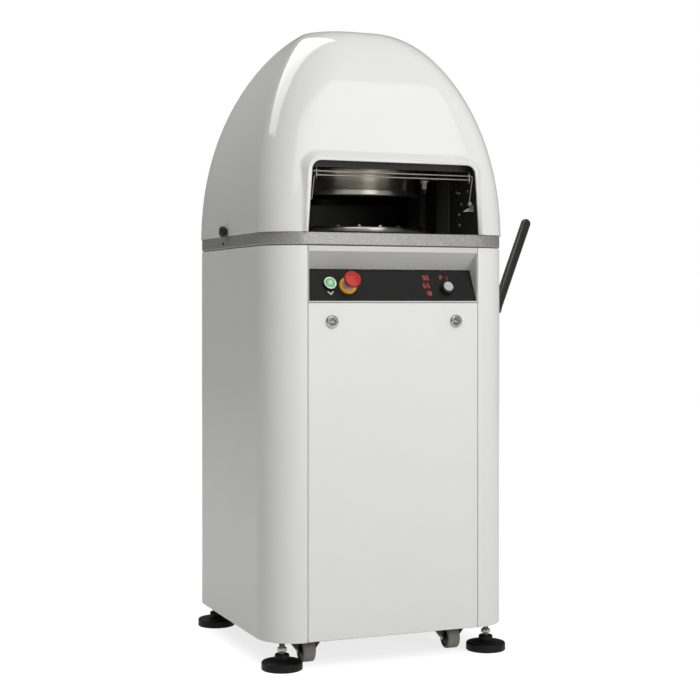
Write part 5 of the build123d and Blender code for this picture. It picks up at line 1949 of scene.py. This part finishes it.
@dataclass(frozen=True)
class Softbox:
    """A rectangular soft light, placed in metres and set by its own brightness.

    A light that is not mirrored brightens surfaces without showing in their gloss.
    """

    name: str
    centre: Triple
    width: float
    height: float
    radiance: float
    mirrored: bool = True
    aim: Triple = (0.0, -0.3, 1.1)

    def build(self) -> None:
        """Hang the light and aim it."""
        lamp = bpy.data.lights.new(self.name, "AREA")
        lamp.shape = "RECTANGLE"
        lamp.size = self.width
        lamp.size_y = self.height
        lamp.energy = self.radiance * math.pi * self.width * self.height
        holder = bpy.data.objects.new(self.name, lamp)
        holder.location = self.centre
        way = Vector(self.aim) - Vector(self.centre)
        holder.rotation_euler = way.to_track_quat("-Z", "Y").to_euler()
        holder.visible_camera = False
        holder.visible_glossy = self.mirrored
        bpy.context.scene.collection.objects.link(holder)


@dataclass
class Studio:
    """Pale floor, white surround, soft lights and the camera at the photograph's angle, in metres."""

    eye: Triple = (-1.41322, -3.49212, 0.83933)
    heading_deg: float = -22.18
    level_deg: float = 90.0
    sensor_mm: float = 36.0
    lens_mm: float = 76.87
    shift_y: float = -0.0666
    floor_radius: float = 9.0
    floor_sides: int = 96
    floor_grey: str = "#bcbcbc"
    floor_roughness: float = 0.9
    white: str = "#ffffff"
    ambient: float = 0.14
    gloss_share: float = 0.5
    shadow_reach: Pair = (0.45, 1.3)
    floor_glow: Pair = (0.78, 1.0)
    lights: tuple[Softbox, ...] = (
        Softbox("window_softbox", (0.099, -3.135, 3.316), 3.83, 2.62, 1.8),
        Softbox("overhead_softbox", (-1.55, 1.9, 3.4), 3.7, 2.2, 3.1, aim=(-1.55, 1.9, 0.0)),
        Softbox("low_window", (0.992, -3.76, 1.037), 1.27, 1.14, 2.2),
        Softbox("front_fill", (0.249, -3.469, 2.79), 2.38, 3.06, 0.7, mirrored=False),
        Softbox("right_fill", (3.176, -0.439, 2.79), 2.63, 3.06, 1.35, mirrored=False),
        Softbox("low_front_fill", (1.376, -3.621, 0.912), 2.98, 1.14, 2.4, mirrored=False),
        Softbox("front_left_fill", (-1.868, -2.872, 2.79), 2.31, 3.06, 0.78, mirrored=False),
        Softbox("top_fill", (0.0, -0.3, 3.6), 3.0, 3.0, 0.36, mirrored=False, aim=(0.0, -0.3, 0.0)),
    )

    def build(self) -> None:
        """Set the floor, the surround, the lights and the camera."""
        self.floor()
        self.surround()
        for light in self.lights:
            light.build()
        camera = bpy.data.cameras.new("photo_camera")
        camera.sensor_width = self.sensor_mm
        camera.lens = self.lens_mm
        camera.shift_y = self.shift_y
        holder = bpy.data.objects.new("photo_camera", camera)
        holder.location = self.eye
        holder.rotation_euler = (math.radians(self.level_deg), 0.0, math.radians(self.heading_deg))
        scene = bpy.context.scene
        scene.collection.objects.link(holder)
        scene.camera = holder
        scene.view_settings.view_transform = "Standard"

    def floor(self) -> None:
        """Lay a round pale floor that glows to white away from the machine, to the eye and in gloss."""
        bm = bmesh.new()
        bmesh.ops.create_circle(bm, cap_ends=True, segments=self.floor_sides, radius=self.floor_radius)
        mesh = bpy.data.meshes.new("studio_floor")
        bm.to_mesh(mesh)
        bm.free()
        # Matt white paint: no gloss of its own, so the soft shadow alone marks the ground.
        material = bpy.data.materials.new("matt_white_floor")
        material.use_nodes = True
        tree = material.node_tree
        coords = add_node(tree, "ShaderNodeTexCoord").outputs["Object"]
        reach = add_node(tree, "ShaderNodeVectorMath", {0: coords}, operation="LENGTH").outputs["Value"]
        near, far = self.shadow_reach
        dim, full = self.floor_glow
        span = {"Value": reach, "From Min": near, "From Max": far, "To Min": dim, "To Max": full}
        fade = add_node(tree, "ShaderNodeMapRange", span, interpolation_type="SMOOTHSTEP").outputs[0]
        path = add_node(tree, "ShaderNodeLightPath").outputs
        rays = {0: path["Is Glossy Ray"], 1: self.gloss_share, 2: path["Is Camera Ray"]}
        seen = add_node(tree, "ShaderNodeMath", rays, operation="MULTIPLY_ADD").outputs[0]
        glow = add_node(tree, "ShaderNodeMath", {0: fade, 1: seen}, operation="MULTIPLY").outputs[0]
        paint = {"Base Color": linear(self.floor_grey), "Emission Color": linear(self.white)}
        gloss = {"Roughness": self.floor_roughness, "Specular IOR Level": 0.0}
        connect(tree, tree.nodes["Principled BSDF"], {**paint, **gloss, "Emission Strength": glow})
        mesh.materials.append(material)
        floor = bpy.data.objects.new("studio_floor", mesh)
        bpy.context.scene.collection.objects.link(floor)

    def surround(self) -> None:
        """Make the background white to the eye and dimmer as a light."""
        world = bpy.data.worlds.new("white_surround")
        world.use_nodes = True
        tree = world.node_tree
        tree.nodes.clear()
        lit, seen = [
            add_node(tree, "ShaderNodeBackground", {"Color": linear(self.white), "Strength": strength})
            for strength in (self.ambient, 1.0)
        ]
        camera = add_node(tree, "ShaderNodeLightPath").outputs["Is Camera Ray"]
        shares = {0: camera, 1: lit.outputs[0], 2: seen.outputs[0]}
        both = add_node(tree, "ShaderNodeMixShader", shares).outputs[0]
        add_node(tree, "ShaderNodeOutputWorld", {"Surface": both})
        bpy.context.scene.world = world


def main() -> None:
    """Build the studio and every sub-assembly."""
    logging.basicConfig(level=logging.INFO, format="%(name)s %(message)s")
    Studio().build()
    for assembly in (Cabinet, Table, Hood, Console, Locks, Chamber, Head, Lever, Feet, Casters, Drive):
        LOG.info("building %s", assembly.__name__)
        assembly().build()


if __name__ == "__main__":
    main()
